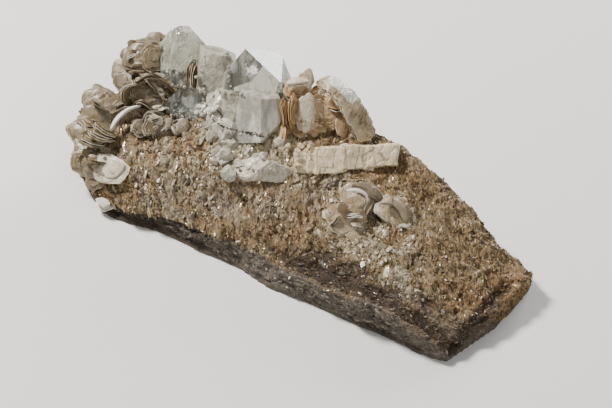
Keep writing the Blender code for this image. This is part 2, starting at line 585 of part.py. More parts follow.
def book(name, values, shake, grow=0.0):
    """One muscovite book: a plate with an uneven outline from root to tip, bent along and across."""
    root, tip, looks, width, thickness, curl, arch = values
    root, tip = (Vector(VIEW_CENTRE) + VIEW @ Vector(end) for end in (root, tip))
    out = (tip - root).normalized()
    flat = VIEW @ Vector(looks)
    flat = (flat - out * flat.dot(out)).normalized()
    side = flat.cross(out)
    middle, half = (root + tip) / 2, (tip - root).length / 2
    uneven = [shake.uniform(*BOOK_UNEVEN) for _ in range(BOOK_SIDES)]
    bm = bmesh.new()

    def place(turn, share, stretch, sign):
        along = (share * stretch + grow * share / half) * math.cos(turn)
        across = (share * stretch + grow * share * 2 / width) * math.sin(turn)
        slope = math.hypot(curl * (along + 1) / (2 * half), 4 * arch * across / width)
        bend = curl * ((along + 1) / 2) ** 2 + arch * across**2
        half_thick = thickness * (BOOK_MIDDLE + (BOOK_EDGE - BOOK_MIDDLE) * share)
        rise = bend + sign * (half_thick + grow * math.hypot(1, slope))
        return bm.verts.new(middle + out * along * half + side * across * width / 2 + flat * rise)

    shares = (1.0, BOOK_INNER) if curl or arch else (1.0,)
    layers = []
    for sign in (1, -1):
        rings = [
            [place(2 * math.pi * k / BOOK_SIDES, share, uneven[k], sign) for k in range(BOOK_SIDES)]
            for share in shares
        ]
        layers.append((rings, place(0.0, 0.0, 1.0, sign)))
    for rings, hub in layers:
        for k in range(BOOK_SIDES):
            beside = (k + 1) % BOOK_SIDES
            for outer, inner in zip(rings, rings[1:]):
                bm.faces.new((outer[k], outer[beside], inner[beside], inner[k]))
            bm.faces.new((rings[-1][k], rings[-1][beside], hub))
    upper, lower = layers[0][0][0], layers[1][0][0]
    for k in range(BOOK_SIDES):
        beside = (k + 1) % BOOK_SIDES
        bm.faces.new((upper[k], upper[beside], lower[beside], lower[k]))
    bmesh.ops.triangulate(bm, faces=bm.faces[:])
    return new_object(name, bm, "muscovite")


def mica_cluster(name, grow=0.0):
    """A cluster of books and the intergrown middle that they stand on, joined."""
    shake = random.Random(name)
    parts = []
    for middle, half in CORES.get(name, []):
        place = Vector(VIEW_CENTRE) + VIEW @ Vector(middle)
        parts.append(flat_faced("core", place, lump_faces(half, CORE_FACES, CORE_SEED), "muscovite", grow))
    parts += [book("book", values, shake, grow) for values in BOOKS[name]]
    cluster, *others = parts
    cluster.name = name
    for one in others:
        boolean(cluster, one, "UNION")
        discard(one)
    return cluster


def curved_book(name, grow=0.0):
    """The large curved book: a strip bent along its middle line, widest near its lower end."""
    towards = (VIEW @ Vector(CURVED_LOOKS)).normalized()
    bm = bmesh.new()
    rings = []
    points = [Vector(point) for point, _ in CURVED_BOOK]
    for k, (_, half) in enumerate(CURVED_BOOK):
        ahead = (points[min(k + 1, len(points) - 1)] - points[max(k - 1, 0)]).normalized()
        across = ahead.cross(towards).normalized()
        flat = across.cross(ahead)
        reach, thick = half + grow, CURVED_THICKNESS / 2 + grow
        end = ahead * grow * (-1 if k == 0 else 1 if k == len(points) - 1 else 0)
        sides = ((-reach, -CURVED_DROP), (0.0, thick), (reach, -CURVED_DROP), (0.0, -thick))
        rings.append([bm.verts.new(points[k] + end + across * a + flat * b) for a, b in sides])
    for ring, following in zip(rings, rings[1:]):
        for j in range(4):
            beside = (j + 1) % 4
            bm.faces.new((ring[j], ring[beside], following[beside], following[j]))
    for ring in (rings[0], rings[-1]):
        bm.faces.new(ring)
    bmesh.ops.triangulate(bm, faces=bm.faces[:])
    return new_object(name, bm, "muscovite")


def builders():
    """Every piece's name and how it is made, in the order in which each is cut clear of those before it."""
    order = [("matrix", schist_block), ("mica_standing", mica_cluster)]
    order += [(name, crystal) for name in CRYSTALS]
    order += [(name, lump) for name in LUMPS]
    order += [("albite_bar", albite_bar), ("mica_curved", curved_book)]
    order += [(name, mica_cluster) for name in BOOKS if name != "mica_standing"]
    return order


def box(obj):
    points = np.array([vert.co for vert in obj.data.vertices])
    return points.min(0), points.max(0)


def boxes_meet(one, other):
    (low_a, high_a), (low_b, high_b) = box(one), box(other)
    return bool(np.all(low_a < high_b) and np.all(low_b < high_a))


def centre_on_base(pieces):
    """Moves every piece alike, so that the middle of the base of their common box is the origin."""
    boxes = [box(piece) for piece in pieces]
    low, high = np.min([b[0] for b in boxes], 0), np.max([b[1] for b in boxes], 0)
    middle = Vector(((low[0] + high[0]) / 2, (low[1] + high[1]) / 2, low[2]))
    print("the box's middle in the drawing:", [round(c / MM + o, 3) for c, o in zip(middle, ORIGIN)])
    for piece in pieces:
        piece.data.transform(Matrix.Translation(-middle))


def main():
    for obj in list(bpy.data.objects):
        bpy.data.objects.remove(obj)
    pieces, cutters = [], []
    for name, make in builders():
        piece = make(name)
        for cutter in cutters:
            if boxes_meet(piece, cutter):
                boolean(piece, cutter, "DIFFERENCE")
        keep_largest_body(piece)
        pieces.append(piece)
        cutters.append(make(name, GAP))
    for cutter in cutters:
        discard(cutter)
    centre_on_base(pieces)


main()
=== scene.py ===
# %% [markdown]
# # A topaz specimen
#
# A hand-sized block of mica schist with clear topaz, quartz, albite and rosettes of muscovite along its
# crest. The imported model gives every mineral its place. The cells below give each one the surface that it
# has on the real stone: torn, sparkling schist, mica that parts into leaves, and crystals with flat clear
# faces. All lengths in the cells are millimetres of the row frame, and only the finished meshes are metres.

import math

import bpy
import numpy as np
from mathutils import Matrix, Vector


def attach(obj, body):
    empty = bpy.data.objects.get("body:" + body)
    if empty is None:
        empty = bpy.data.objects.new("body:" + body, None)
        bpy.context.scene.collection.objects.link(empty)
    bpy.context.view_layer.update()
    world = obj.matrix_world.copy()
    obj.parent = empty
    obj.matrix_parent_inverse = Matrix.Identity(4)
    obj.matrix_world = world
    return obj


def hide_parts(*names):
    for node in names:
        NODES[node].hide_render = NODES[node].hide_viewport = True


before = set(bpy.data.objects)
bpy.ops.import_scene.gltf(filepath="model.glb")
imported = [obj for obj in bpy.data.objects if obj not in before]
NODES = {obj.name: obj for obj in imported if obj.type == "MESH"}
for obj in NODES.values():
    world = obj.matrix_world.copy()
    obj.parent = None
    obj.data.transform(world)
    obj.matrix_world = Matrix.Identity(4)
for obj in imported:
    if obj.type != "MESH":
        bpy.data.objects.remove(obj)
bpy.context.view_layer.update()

# %% [markdown]
# ## Places on the stone
#
# The crystals were set out as seen from the specimen's best side: so far to the right, so far up, and so
# far towards the eye from one point near the stone's middle. Three unit arrows turn such a place into X, Y
# and Z. The same point and arrows hold the camera.

# %% Views and places
DRAWING_MIDDLE = np.array([53.266, 25.582, 0.0])  # the frame's origin, in the drawing the pieces came from
VIEW_CENTRE = np.array([60.9, 22.9, 12.0]) - DRAWING_MIDDLE
TURN, HEIGHT = math.radians(33.7), math.radians(40.0)
RIGHT = np.array([math.cos(TURN), math.sin(TURN), 0.0])
TOWARDS = np.array(
    [math.sin(TURN) * math.cos(HEIGHT), -math.cos(TURN) * math.cos(HEIGHT), math.sin(HEIGHT)]
)
UP = np.cross(TOWARDS, RIGHT)
VIEW = np.stack([RIGHT, UP, TOWARDS])
SEEN_TURN = tuple(Matrix(VIEW.T.tolist()).to_euler())  # the same turn, for patterns that run up or across the view
EYE_DISTANCE = 475.09


def seen_at(right, up, towards):
    """The point VIEW_CENTRE + right * RIGHT + up * UP + towards * TOWARDS."""
    return VIEW_CENTRE + np.array([right, up, towards]) @ VIEW


def unit(vectors):
    """Vectors divided by their lengths."""
    return vectors / np.linalg.norm(vectors, axis=-1, keepdims=True)


print("the view centre:", np.round(VIEW_CENTRE, 2).tolist())

# %% [markdown]
# ## Roughness that is the same everywhere
#
# Broken stone is uneven at every size at once. A lattice of random numbers, read with smooth steps between
# its corners, gives one size of unevenness; a few of them added up give stone. Cells around scattered
# points give grains that stand against each other like the mica and quartz of a schist.


# %% Noise
def lattice(points, size, seed):
    """Random values from -1 to 1 that change smoothly over size: corner values mixed by t * t * (3 - 2 * t)."""
    table = np.random.default_rng(seed).uniform(-1, 1, (32, 32, 32))
    place = points / size
    cell = np.floor(place).astype(int)
    t = place - cell
    t = t * t * (3 - 2 * t)
    total = np.zeros(len(points))
    for corner in np.ndindex(2, 2, 2):
        share = np.prod(np.where(corner, t, 1 - t), axis=1)
        at = (cell + corner) % 32
        total += share * table[at[:, 0], at[:, 1], at[:, 2]]
    return total


def fractal(points, size, seed, octaves=4):
    """lattice at size, size / 2, size / 4 and so on, each half as strong as the one before."""
    return sum(0.5**k * lattice(points, size * 0.5**k, seed + k) for k in range(octaves))


def grains(points, size, seed):
    """Distances to the nearest and second nearest of one scattered point in each cube of that size, and the
    nearest one's own random value."""
    rng = np.random.default_rng(seed)
    offsets, values = rng.uniform(0, 1, (24, 24, 24, 3)), rng.uniform(0, 1, (24, 24, 24))
    place = points / size
    cell = np.floor(place).astype(int)
    near = np.full(len(points), 9.0)
    second = np.full(len(points), 9.0)
    value = np.zeros(len(points))
    for step in np.ndindex(3, 3, 3):
        at = cell + np.array(step) - 1
        index = tuple((at % 24).T)
        distance = np.linalg.norm(at + offsets[index] - place, axis=1)
        second = np.minimum(second, np.maximum(distance, near))
        value = np.where(distance < near, values[index], value)
        near = np.minimum(near, distance)
    return near, second, value


# %% [markdown]
# ## From arrays to pieces
#
# A piece is an array of points and an array of triangles. Marks are numbers kept at every point, such as
# which grain it belongs to, that its finish reads. Closed skins, such as a leaf of mica or a flake, are
# rings of points between two poles: quads between the rings and a fan at each pole.


# %% Pieces
def shell_volume(points, faces):
    """Sum of a . (b x c) / 6 over the triangles: above zero when they face outwards."""
    a, b, c = (points[faces[:, k]] for k in range(3))
    return float(np.sum(a * np.cross(b, c)) / 6)


def piece(name, points, faces, finish, marks=None, smooth=True, stands_for=()):
    """A finished object in the frame's one body, from points in mm and triangles."""
    if shell_volume(points, faces) < 0:
        faces = faces[:, ::-1]
    mesh = bpy.data.meshes.new(name)
    mesh.vertices.add(len(points))
    mesh.vertices.foreach_set("co", (points * 0.001).ravel())
    mesh.loops.add(faces.size)
    mesh.loops.foreach_set("vertex_index", faces.ravel())
    mesh.polygons.add(len(faces))
    mesh.polygons.foreach_set("loop_start", np.arange(len(faces)) * 3)
    mesh.polygons.foreach_set("use_smooth", np.full(len(faces), smooth))
    for mark, values in (marks or {}).items():
        mesh.attributes.new(mark, "FLOAT", "POINT").data.foreach_set("value", values.astype(np.float32))
    mesh.update(calc_edges=True)
    if smooth:
        mesh.set_sharp_from_angle(angle=math.radians(38))
    mesh.materials.append(finish)
    obj = bpy.data.objects.new(name, mesh)
    bpy.context.scene.collection.objects.link(obj)
    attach(obj, "root")
    if stands_for:
        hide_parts(*stands_for)
    print(f"{name}: {len(faces)} triangles")
    return obj


def skins(poles, rings):
    """Points and triangles of closed skins: poles[skin, 2] and rings[skin, ring, step]."""
    count, rows, steps, _ = rings.shape
    points = np.concatenate([poles, rings.reshape(count, rows * steps, 3)], axis=1)
    j = np.arange(steps)
    k = (j + 1) % steps
    row = 2 + np.arange(rows - 1)[:, None] * steps
    quads = np.stack([row + j, row + k, row + steps + k, row + steps + j], -1).reshape(-1, 4)
    last = 2 + (rows - 1) * steps
    fans = [np.stack([0 * j, 2 + k, 2 + j], -1), np.stack([0 * j + 1, last + j, last + k], -1)]
    one = np.concatenate([quads[:, [0, 1, 2]], quads[:, [0, 2, 3]], *fans])
    faces = one[None] + (np.arange(count) * points.shape[1])[:, None, None]
    return points.reshape(-1, 3), faces.reshape(-1, 3)


def even_copy(node, cell, rounds=0):
    """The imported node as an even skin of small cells, eased by some rounds: points, normals and triangles."""
    work = NODES[node].copy()
    work.data = NODES[node].data.copy()
    bpy.context.scene.collection.objects.link(work)
    weld = work.modifiers.new("weld", "WELD")
    weld.merge_threshold = 1e-6
    remesh = work.modifiers.new("remesh", "REMESH")
    remesh.mode = "VOXEL"
    remesh.voxel_size = cell * 0.001
    ease = work.modifiers.new("ease", "SMOOTH")
    ease.iterations = rounds
    work.modifiers.new("triangles", "TRIANGULATE")
    bpy.context.view_layer.update()
    made = bpy.data.meshes.new_from_object(work.evaluated_get(bpy.context.evaluated_depsgraph_get()))
    points, normals = (np.empty(len(made.vertices) * 3) for _ in range(2))
    made.vertices.foreach_get("co", points)
    made.vertex_normals.foreach_get("vector", normals)
    faces = np.empty(len(made.polygons) * 3, int)
    made.polygons.foreach_get("vertices", faces)
    used = work.data
    bpy.data.objects.remove(work)
    bpy.data.meshes.remove(used)
    bpy.data.meshes.remove(made)
    return points.reshape(-1, 3) * 1000, normals.reshape(-1, 3), faces.reshape(-1, 3)


# %% [markdown]
# ## Finishes as sums
#
# A finish is a small net of nodes. Wrapping its sockets lets one write the shader's maths as ordinary sums.
# Places are the object's own coordinates, so a pattern lies still on the stone.


# %% Shader maths
class Wire:
    """An output of a net, which can be added, multiplied and so on with numbers and other outputs."""

    def __init__(self, net, socket):
        self.net, self.socket = net, socket

    def _maths(self, operation, one, two):
        return self.net.node("ShaderNodeMath", {"operation": operation}, one, two)

    def __add__(self, other):
        return self._maths("ADD", self, other)

    def __radd__(self, other):
        return self._maths("ADD", other, self)

    def __sub__(self, other):
        return self._maths("SUBTRACT", self, other)

    def __rsub__(self, other):
        return self._maths("SUBTRACT", other, self)

    def __mul__(self, other):
        return self._maths("MULTIPLY", self, other)

    def __rmul__(self, other):
        return self._maths("MULTIPLY", other, self)

    def __truediv__(self, other):
        return self._maths("DIVIDE", self, other)

    def __rtruediv__(self, other):
        return self._maths("DIVIDE", other, self)

    def __pow__(self, other):
        return self._maths("POWER", self, other)


class Net:
    """The nodes of one finish."""

    def __init__(self, name):
        self.material = bpy.data.materials.new(name)
        self.material.use_nodes = True
        self.tree = self.material.node_tree
        self.tree.nodes.clear()
        self.output = self.tree.nodes.new("ShaderNodeOutputMaterial")

    def feed(self, socket, value):
        if isinstance(value, Wire):
            self.tree.links.new(value.socket, socket)
        elif isinstance(value, tuple) and len(value) == 3 and socket.type == "RGBA":
            socket.default_value = (*value, 1.0)
        else:
            socket.default_value = value

    def node(self, kind, settings=None, *values, out=0, **named):
        """Any node: its type, its settings, then its sockets in order or by name."""
        made = self.tree.nodes.new(kind)
        for key, value in (settings or {}).items():
            setattr(made, key, value)
        for key, value in [*enumerate(values), *named.items()]:
            self.feed(made.inputs[key], value)
        return Wire(self, made.outputs[out])

    def place(self, stretch=(1, 1, 1), turn=(0, 0, 0)):
        """The object's own coordinates in mm, turned and then stretched."""
        here = self.node("ShaderNodeTexCoord", None, out=3)
        settings = {"vector_type": "TEXTURE"}
        scale = tuple(0.001 * s for s in stretch)
        return self.node("ShaderNodeMapping", settings, here, (0, 0, 0), turn, scale)

    def noise(self, place, size, detail=3.0, rough=0.55, twist=0.0):
        """Cloudy values around 0.5 that change over size."""
        named = {"Vector": place, "Scale": 1 / size, "Detail": detail, "Roughness": rough}
        return self.node("ShaderNodeTexNoise", None, Distortion=twist, **named)

    def cells(self, place, size, feature="F1", out=0):
        """Cells of that size: distance to their points (0), or their random colour (1)."""
        return self.node("ShaderNodeTexVoronoi", {"feature": feature}, Vector=place, Scale=1 / size, out=out)

    def mark(self, name):
        """A number kept at every point of the mesh."""
        return self.node("ShaderNodeAttribute", {"attribute_name": name}, out=2)

    def step(self, value, low, high):
        """0 below low, 1 above high, and smooth between them."""
        settings = {"interpolation_type": "SMOOTHSTEP"}
        return self.node("ShaderNodeMapRange", settings, value, low, high, 0.0, 1.0)

    def mix(self, share, one, two, blend="MIX"):
        """Colour one, or two where share is 1."""
        made = self.tree.nodes.new("ShaderNodeMix")
        made.data_type = "RGBA"
        made.blend_type = blend
        for k, value in ((0, share), (6, one), (7, two)):
            self.feed(made.inputs[k], value)
        return Wire(self, made.outputs[2])

    def bump(self, height, distance, strength=1.0, normal=None):
        """Normals for a height from 0 to 1 that stands for distance in mm."""
        named = {"Strength": strength, "Distance": distance * 0.001, "Height": height}
        if normal is not None:
            named["Normal"] = normal
        return self.node("ShaderNodeBump", None, **named)

    def shader(self, **values):
        """A Principled BSDF with these sockets, underscores standing for spaces."""
        return self.node("ShaderNodeBsdfPrincipled", None, **{k.replace("_", " "): v for k, v in values.items()})

    def done(self, surface, volume=None):
        self.tree.links.new(surface.socket, self.output.inputs["Surface"])
        if volume is not None:
            self.tree.links.new(volume.socket, self.output.inputs["Volume"])
        return self.material


# %% [markdown]
# ## The schist's finish
#
# Mica schist is a felt of millimetre flakes: brown mica, silvery muscovite and clear quartz, stained by
# iron. Each grain has a tone of its own. Flakes that lie flat shine, and broken ones are dull. Along the
# foot the rock is fresher and grey. The groove above it, the trough at the thin end and the left of the
# foot strip are painted nearly black, as shade.


# %% Schist
GRAIN_STRETCH = (0.7, 1.9, 1.2)  # the grains are long down the front slope


def schist():
    net = Net("schist_grains")
    here = net.place()
    tone = net.cells(net.place(GRAIN_STRETCH, SEEN_TURN), 0.8, out=1)
    fine = net.cells(net.place(GRAIN_STRETCH, SEEN_TURN), 0.42, out=1)
    broad = net.noise(here, 9.0, 4.0)
    mottle = net.noise(here, 2.2, 4.0, 0.65)
    streak = net.cells(net.place((6.0, 1.0, 0.8)), 0.5, out=1)
    colour = net.mix(net.step(tone, 0.1, 0.9), (0.062, 0.037, 0.015), (0.24, 0.158, 0.07))
    colour = net.mix(net.step(fine, 0.62, 0.98) * 0.6, colour, (0.4, 0.285, 0.14))
    colour = net.mix(net.step(fine, 0.32, 0.05) * 0.75, colour, (0.022, 0.013, 0.006))
    colour = net.mix(net.step(mottle, 0.45, 0.72) * 0.5, colour, (0.2, 0.12, 0.045))
    colour = net.mix(net.step(broad, 0.5, 0.7) * 0.4, colour, (0.17, 0.13, 0.08))
    pale = net.mix(tone, (0.19, 0.145, 0.085), (0.46, 0.39, 0.275))
    colour = net.mix(net.mark("pale") * net.step(mottle, 0.3, 0.55) * 0.85, colour, pale)
    colour = net.mix(net.mark("lilac") * 0.6, colour, net.mix(fine, (0.085, 0.06, 0.044), (0.39, 0.32, 0.245)))
    colour = net.mix(net.mark("grey") * 0.9, colour, net.mix(streak, (0.021, 0.017, 0.013), (0.13, 0.11, 0.088)))
    # painted shade: mark dark paints the groove, the trough and the left of the foot strip nearly black
    colour = net.mix(net.mark("dark") * 0.92, colour, net.mix(streak, (0.009, 0.004, 0.002), (0.08, 0.036, 0.011)))
    colour = net.mix(net.mark("iron") * 0.5, colour, net.mix(fine, (0.09, 0.04, 0.012), (0.3, 0.165, 0.055)))
    # painted shade: the hollows, mark deep, are darkened nearly to black
    colour = net.mix(net.mark("deep") * 0.75, colour, (0.02, 0.012, 0.006))
    rough = 0.85 - net.step(fine, 0.6, 0.95) * 0.5
    normal = net.bump(net.noise(net.place(GRAIN_STRETCH, SEEN_TURN), 0.4, 4.0, 0.7), 0.25, 0.9)
    normal = net.bump(net.cells(net.place(GRAIN_STRETCH, SEEN_TURN), 0.8), 0.2, 0.8, normal)
    return net.done(net.shader(Base_Color=colour, Roughness=rough, Normal=normal))


def flake_finish():
    net = Net("schist_flakes")
    shade = net.mark("shade")
    colour = net.mix(net.step(shade, 0.0, 0.5), (0.035, 0.02, 0.008), (0.19, 0.12, 0.048))
    colour = net.mix(net.step(shade, 0.5, 0.9), colour, (0.32, 0.23, 0.115))
    colour = net.mix(net.step(shade, 0.975, 0.995), colour, (0.6, 0.55, 0.46))
    colour = net.mix(net.mark("pale") * 0.6, colour, net.mix(shade, (0.18, 0.14, 0.085), (0.5, 0.44, 0.33)))
    colour = net.mix(net.mark("lilac") * 0.6, colour, net.mix(shade, (0.085, 0.062, 0.046), (0.39, 0.325, 0.25)))
    colour = net.mix(net.mark("grey") * 0.85, colour, net.mix(shade, (0.028, 0.023, 0.018), (0.15, 0.128, 0.104)))
    # painted shade: flakes in the groove, the trough and the left of the foot strip are nearly black too
    colour = net.mix(net.mark("dark") * 0.92, colour, net.mix(shade, (0.01, 0.005, 0.002), (0.075, 0.037, 0.013)))
    colour = net.mix(net.mark("iron") * 0.5, colour, net.mix(shade, (0.09, 0.038, 0.012), (0.3, 0.17, 0.06)))
    rough = 0.55 - net.step(shade, 0.5, 0.9) * 0.3
    normal = net.bump(net.noise(net.place(), 0.25, 3.0), 0.05, 0.6)
    shine = net.step(shade, 0.4, 0.95) * 0.5
    return net.done(net.shader(Base_Color=colour, Roughness=rough, Coat_Weight=shine, Normal=normal))


SCHIST = schist()
FLAKES = flake_finish()

# %% [markdown]
# ## The block
#
# The imported block is lumpy but plain. Its skin is laid again in even cells of half a millimetre. Then it is
# pushed in and out: by leaves that follow the rock's layers, by grains, and by chips. Its underside stays
# flat. The strip along its foot is marked for the finish, and the groove over it and the hollows are marked
# for painted shade.

# %% Block
FOOT_X = np.array([-2, 3, 12, 26, 40, 52, 64, 78, 92, 103, 113, 120, 124.5]) - DRAWING_MIDDLE[0]
LIP_Z = np.array([3, 3, 4, 6, 7.5, 7, 6.5, 8, 10, 10.8, 8.2, 6.6, 6])
BROW_Z = np.array([5, 5, 6, 8, 9.5, 9, 8.5, 10, 11, 10.8, 8.6, 7, 6.6])
LAYER_UP = unit(np.array([0.22, -0.3, 0.93]))
LAYER_ALONG = unit(np.cross(np.array([0.3, 1.0, 0.0]), LAYER_UP))
LAYERS = np.stack([LAYER_ALONG, np.cross(LAYER_UP, LAYER_ALONG), LAYER_UP])


# Lines on the rock, as seen from the best side: the dark groove over the foot strip, and the trough behind
# the rim of the thin end. Painted shade makes both nearly black.
GROOVE = np.array([(-16, -9.5), (-6.5, -14.5), (7, -19.5), (20.5, -24.5), (29, -30.5), (41, -39.5)])
TROUGH = np.array([(38.6, -36.4), (53.5, -22.4)])


def off_line(points, line):
    """How far the points lie from a line of straight stretches, all as seen from the best side."""
    seen = ((points - VIEW_CENTRE) @ VIEW.T)[:, :2]
    ways = np.diff(line, axis=0)
    away = seen[:, None] - line[:-1]
    share = np.clip((away * ways).sum(-1) / (ways**2).sum(-1), 0, 1)
    return np.linalg.norm(away - share[..., None] * ways, axis=-1).min(axis=1)


def smooth_step(value, low, high):
    t = np.clip((value - low) / (high - low), 0, 1)
    return t * t * (3 - 2 * t)


# Patches of the rock as seen from the best side: right, up, and half sizes that way.
IRON = [(5, 8, 6, 4), (-38, 16, 6, 4), (-12, 5, 5, 4), (24, 7, 9, 4), (42, -26, 12, 6), (56, -22, 5, 8), (-3, -6, 5, 7)]
PALE = [(-18, 17, 14, 6), (-8, 11, 11, 4), (14, -8, 9, 5), (24, -11, 8, 6), (-30, 14, 14, 5), (8, 4, 8, 4), (25, -22, 6, 5)]
LILAC = [(-18, 2, 17, 9), (-2, -2, 7, 5), (-38, 2, 12, 6), (-52, 10, 6, 5)]


def patches(points, spots, seed):
    """The patches: exp(-(right / wide)**2 - (up / tall)**2) around each, broken up by noise."""
    seen = (points - VIEW_CENTRE) @ VIEW.T
    total = np.zeros(len(points))
    for right, up, wide, tall in spots:
        total += np.exp(-(((seen[:, 0] - right) / wide) ** 2) - ((seen[:, 1] - up) / tall) ** 2)
    return np.clip(1.3 * total, 0, 1) * smooth_step(fractal(points, 3.0, seed), -0.6, 0.4)


def zones(points):
    """Where the foot strip and the groove lie, from 0 to 1, by height over the strip's lip at that X. Mark dark
    is painted shade: over the lip, in the groove, in the trough and on the left of the strip.
    """
    lip = np.interp(points[:, 0], FOOT_X, LIP_Z)
    brow = np.interp(points[:, 0], FOOT_X, BROW_Z)
    front = 1 - smooth_step(points[:, 1] - np.interp(points[:, 0], EDGE_X, EDGE_Y), 9.5, 13.5)
    wander = 0.8 * lattice(points, 5.0, 61)
    grey = front * (1 - smooth_step(points[:, 2] + wander, lip - 0.6, lip + 0.4))
    # painted shade: dark darkens the band over the strip's lip
    dark = front * smooth_step(points[:, 2] + wander, lip - 0.4, lip + 0.6)
    dark *= 1 - smooth_step(points[:, 2] + wander, brow + 1.0, brow + 3.0)
    dark *= 0.6 * smooth_step(points[:, 0], 5.0, 20.0)
    seen = (points - VIEW_CENTRE) @ VIEW.T
    # painted shade along the groove
    groove = (1 - smooth_step(off_line(points, GROOVE) + 0.6 * wander, 1.0, 3.0)) * (points[:, 2] > 1.5)
    dark = np.maximum(dark, groove * smooth_step(seen[:, 0], -16.0, 2.0))
    grey = grey * (1 - groove)
    # painted shade: the left of the foot strip is darkened too
    dark = np.maximum(dark, 0.6 * grey * (1 - smooth_step(points[:, 0], -40.0, 10.0)))
    # painted shade in the trough behind the thin end's rim
    trough = 1 - smooth_step(off_line(points, TROUGH) + 0.4 * wander, 0.6, 2.6)
    dark = np.maximum(dark, 0.7 * trough * (points[:, 2] > 3.0))
    return {
        "grey": grey,
        "dark": dark,
        "iron": patches(points, IRON, 71),
        "pale": patches(points, PALE, 72),
        "lilac": patches(points, LILAC, 73),
    }


SWIRL = np.array([15.0, -2.0])  # the middle of the swirl of fibres, as seen from the best side


def swirl(points):
    """The fibres that swirl round the small rosette: how strong they are, the way they run, and places that run
    with them, which are the distance from the middle, the way round it and the depth."""
    seen = (points - VIEW_CENTRE) @ VIEW.T
    away = seen[:, :2] - SWIRL
    far = np.maximum(np.linalg.norm(away, axis=1), 0.1)
    strength = np.exp(-(((far - 14) / 8) ** 2)) * smooth_step(-away[:, 0], -6.0, 6.0)
    along = (np.outer(away[:, 0], UP) - np.outer(away[:, 1], RIGHT)) / far[:, None]
    along *= np.where(along @ (UP - 0.2 * RIGHT) < 0, -1.0, 1.0)[:, None]
    places = np.stack([far, 3.0 * np.arctan2(away[:, 1], -away[:, 0]), 0.4 * seen[:, 2]], axis=1)
    return strength, along, places


points, normals, faces = even_copy("matrix", 0.5, 6)
EDGE_X = np.linspace(points[:, 0].min() + 1, points[:, 0].max() - 1, 40)  # the front edge, read off the block
EDGE_Y = np.array([points[np.abs(points[:, 0] - x) < 2.5, 1].min() for x in EDGE_X])
layered = points @ LAYERS.T
seen = (points - VIEW_CENTRE) @ VIEW.T
where = zones(points)
foot = np.maximum(where["grey"], where["dark"])
leaves = fractal(layered * (0.45, 0.7, 2.0), 4.0, 11)
near, second, value = grains(points, 1.5, 21)
big_value = grains(seen * (1, 0.5, 0.8), 2.4, 31)[2]
lumps = fractal(points, 6.5, 41)
fibres = fractal(seen * (1.0, 0.25, 0.5), 1.3, 51, 3) * smooth_step(10 - seen[:, 0], -20, 10)
streaks = fractal(points * (0.16, 1, 1), 1.3, 52, 3)
round_it, _, with_it = swirl(points)
fibres = fibres * (1 - round_it) + 1.3 * round_it * fractal(with_it, 1.1, 54, 3)
ledges = (layered[:, 2] + 1.6 * fractal(layered, 7.0, 53, 3)) / 1.7
ledges = ledges - np.floor(ledges) - 0.5
push = 0.34 * leaves + 0.3 * (value - 0.5) - 0.16 * smooth_step(0.12 - (second - near), 0.0, 0.12)
push += (0.55 * (big_value - 0.5) + 0.45 * fibres) * (1 - 0.6 * foot) + 0.7 * lumps
push += 0.55 * ledges * (1 - foot) + 0.45 * streaks * foot - 2.1 * where["dark"]
free = smooth_step(points[:, 2], 0.2, 1.8)
sunk = points + normals * (push * free)[:, None]
sunk[:, 2] = np.maximum(sunk[:, 2], 0.0)
# deep: where the skin is pushed in, for painted shade in the hollows
deep = smooth_step(-push, 0.35, 0.95) * free
marks = {**where, "deep": deep}
rock = piece("schist_block", sunk, faces, SCHIST, marks, stands_for=("matrix",))
rock_points, rock_faces = sunk, faces
print("pushed by", np.round([push.min(), push.max()], 2), "mm")

# %% [markdown]
# ## The flakes
#
# What makes schist sparkle is thousands of mica flakes that stick out of it, most of them lying along its
# layers. Each is a thin lens of six sides, twelve triangles in all. They sit where the skin is, larger
# among the mica books, and each has a shade of its own.


# %% Flakes
def scatter(rng, count, weight):
    """Random places on the rock's skin: triangles drawn by area times weight, and points within them."""
    corners = rock_points[rock_faces]
    cross = np.cross(corners[:, 1] - corners[:, 0], corners[:, 2] - corners[:, 0])
    area = np.linalg.norm(cross, axis=1) / 2
    middle = corners.mean(1)
    chance = area * weight(middle, cross / (2 * area[:, None] + 1e-12))
    drawn = rng.choice(len(area), count, p=chance / chance.sum())
    u, v = rng.uniform(0, 1, (2, count, 1))
    u, v = np.where(u + v > 1, 1 - u, u), np.where(u + v > 1, 1 - v, v)
    a, b, c = (corners[drawn, k] for k in range(3))
    return a + (b - a) * u + (c - a) * v, unit(cross[drawn])


def lenses(rng, middles, looks, radius, thick, steps=6, uneven=0.25, long=1.35, way=UP - 0.2 * RIGHT):
    """Flakes: a ring of steps points around each middle, long times its radius along the way, and a pole on
    each side, thick apart."""
    count = len(middles)
    side = unit(np.cross(looks, way + rng.normal(scale=0.35, size=(count, 3))))
    other = np.cross(looks, side)
    turn = 2 * np.pi * np.arange(steps) / steps
    reach = radius[:, None] * rng.uniform(1 - uneven, 1 + uneven, (count, steps))
    flat = np.cos(turn) * reach / long, long * np.sin(turn) * reach
    ring = middles[:, None] + flat[0][..., None] * side[:, None] + flat[1][..., None] * other[:, None]
    tips = middles[:, None] + np.array([0.5, -0.5])[:, None] * (thick[:, None] * looks)[:, None]
    points = np.concatenate([tips, ring], 1)
    j = np.arange(steps)
    k = (j + 1) % steps
    one = np.concatenate([np.stack([0 * j, 2 + j, 2 + k], -1), np.stack([0 * j + 1, 2 + k, 2 + j], -1)])
    faces = one[None] + (np.arange(count) * (2 + steps))[:, None, None]
    return points.reshape(-1, 3), faces.reshape(-1, 3)


def shown(middle, normal):
    """Flakes lie on the sides and the top, and not under the stone."""
    return smooth_step(middle[:, 2], 1.0, 2.5) * (0.35 + np.clip(normal @ (TOWARDS * 0.6 + UP * 0.2), 0, 1))


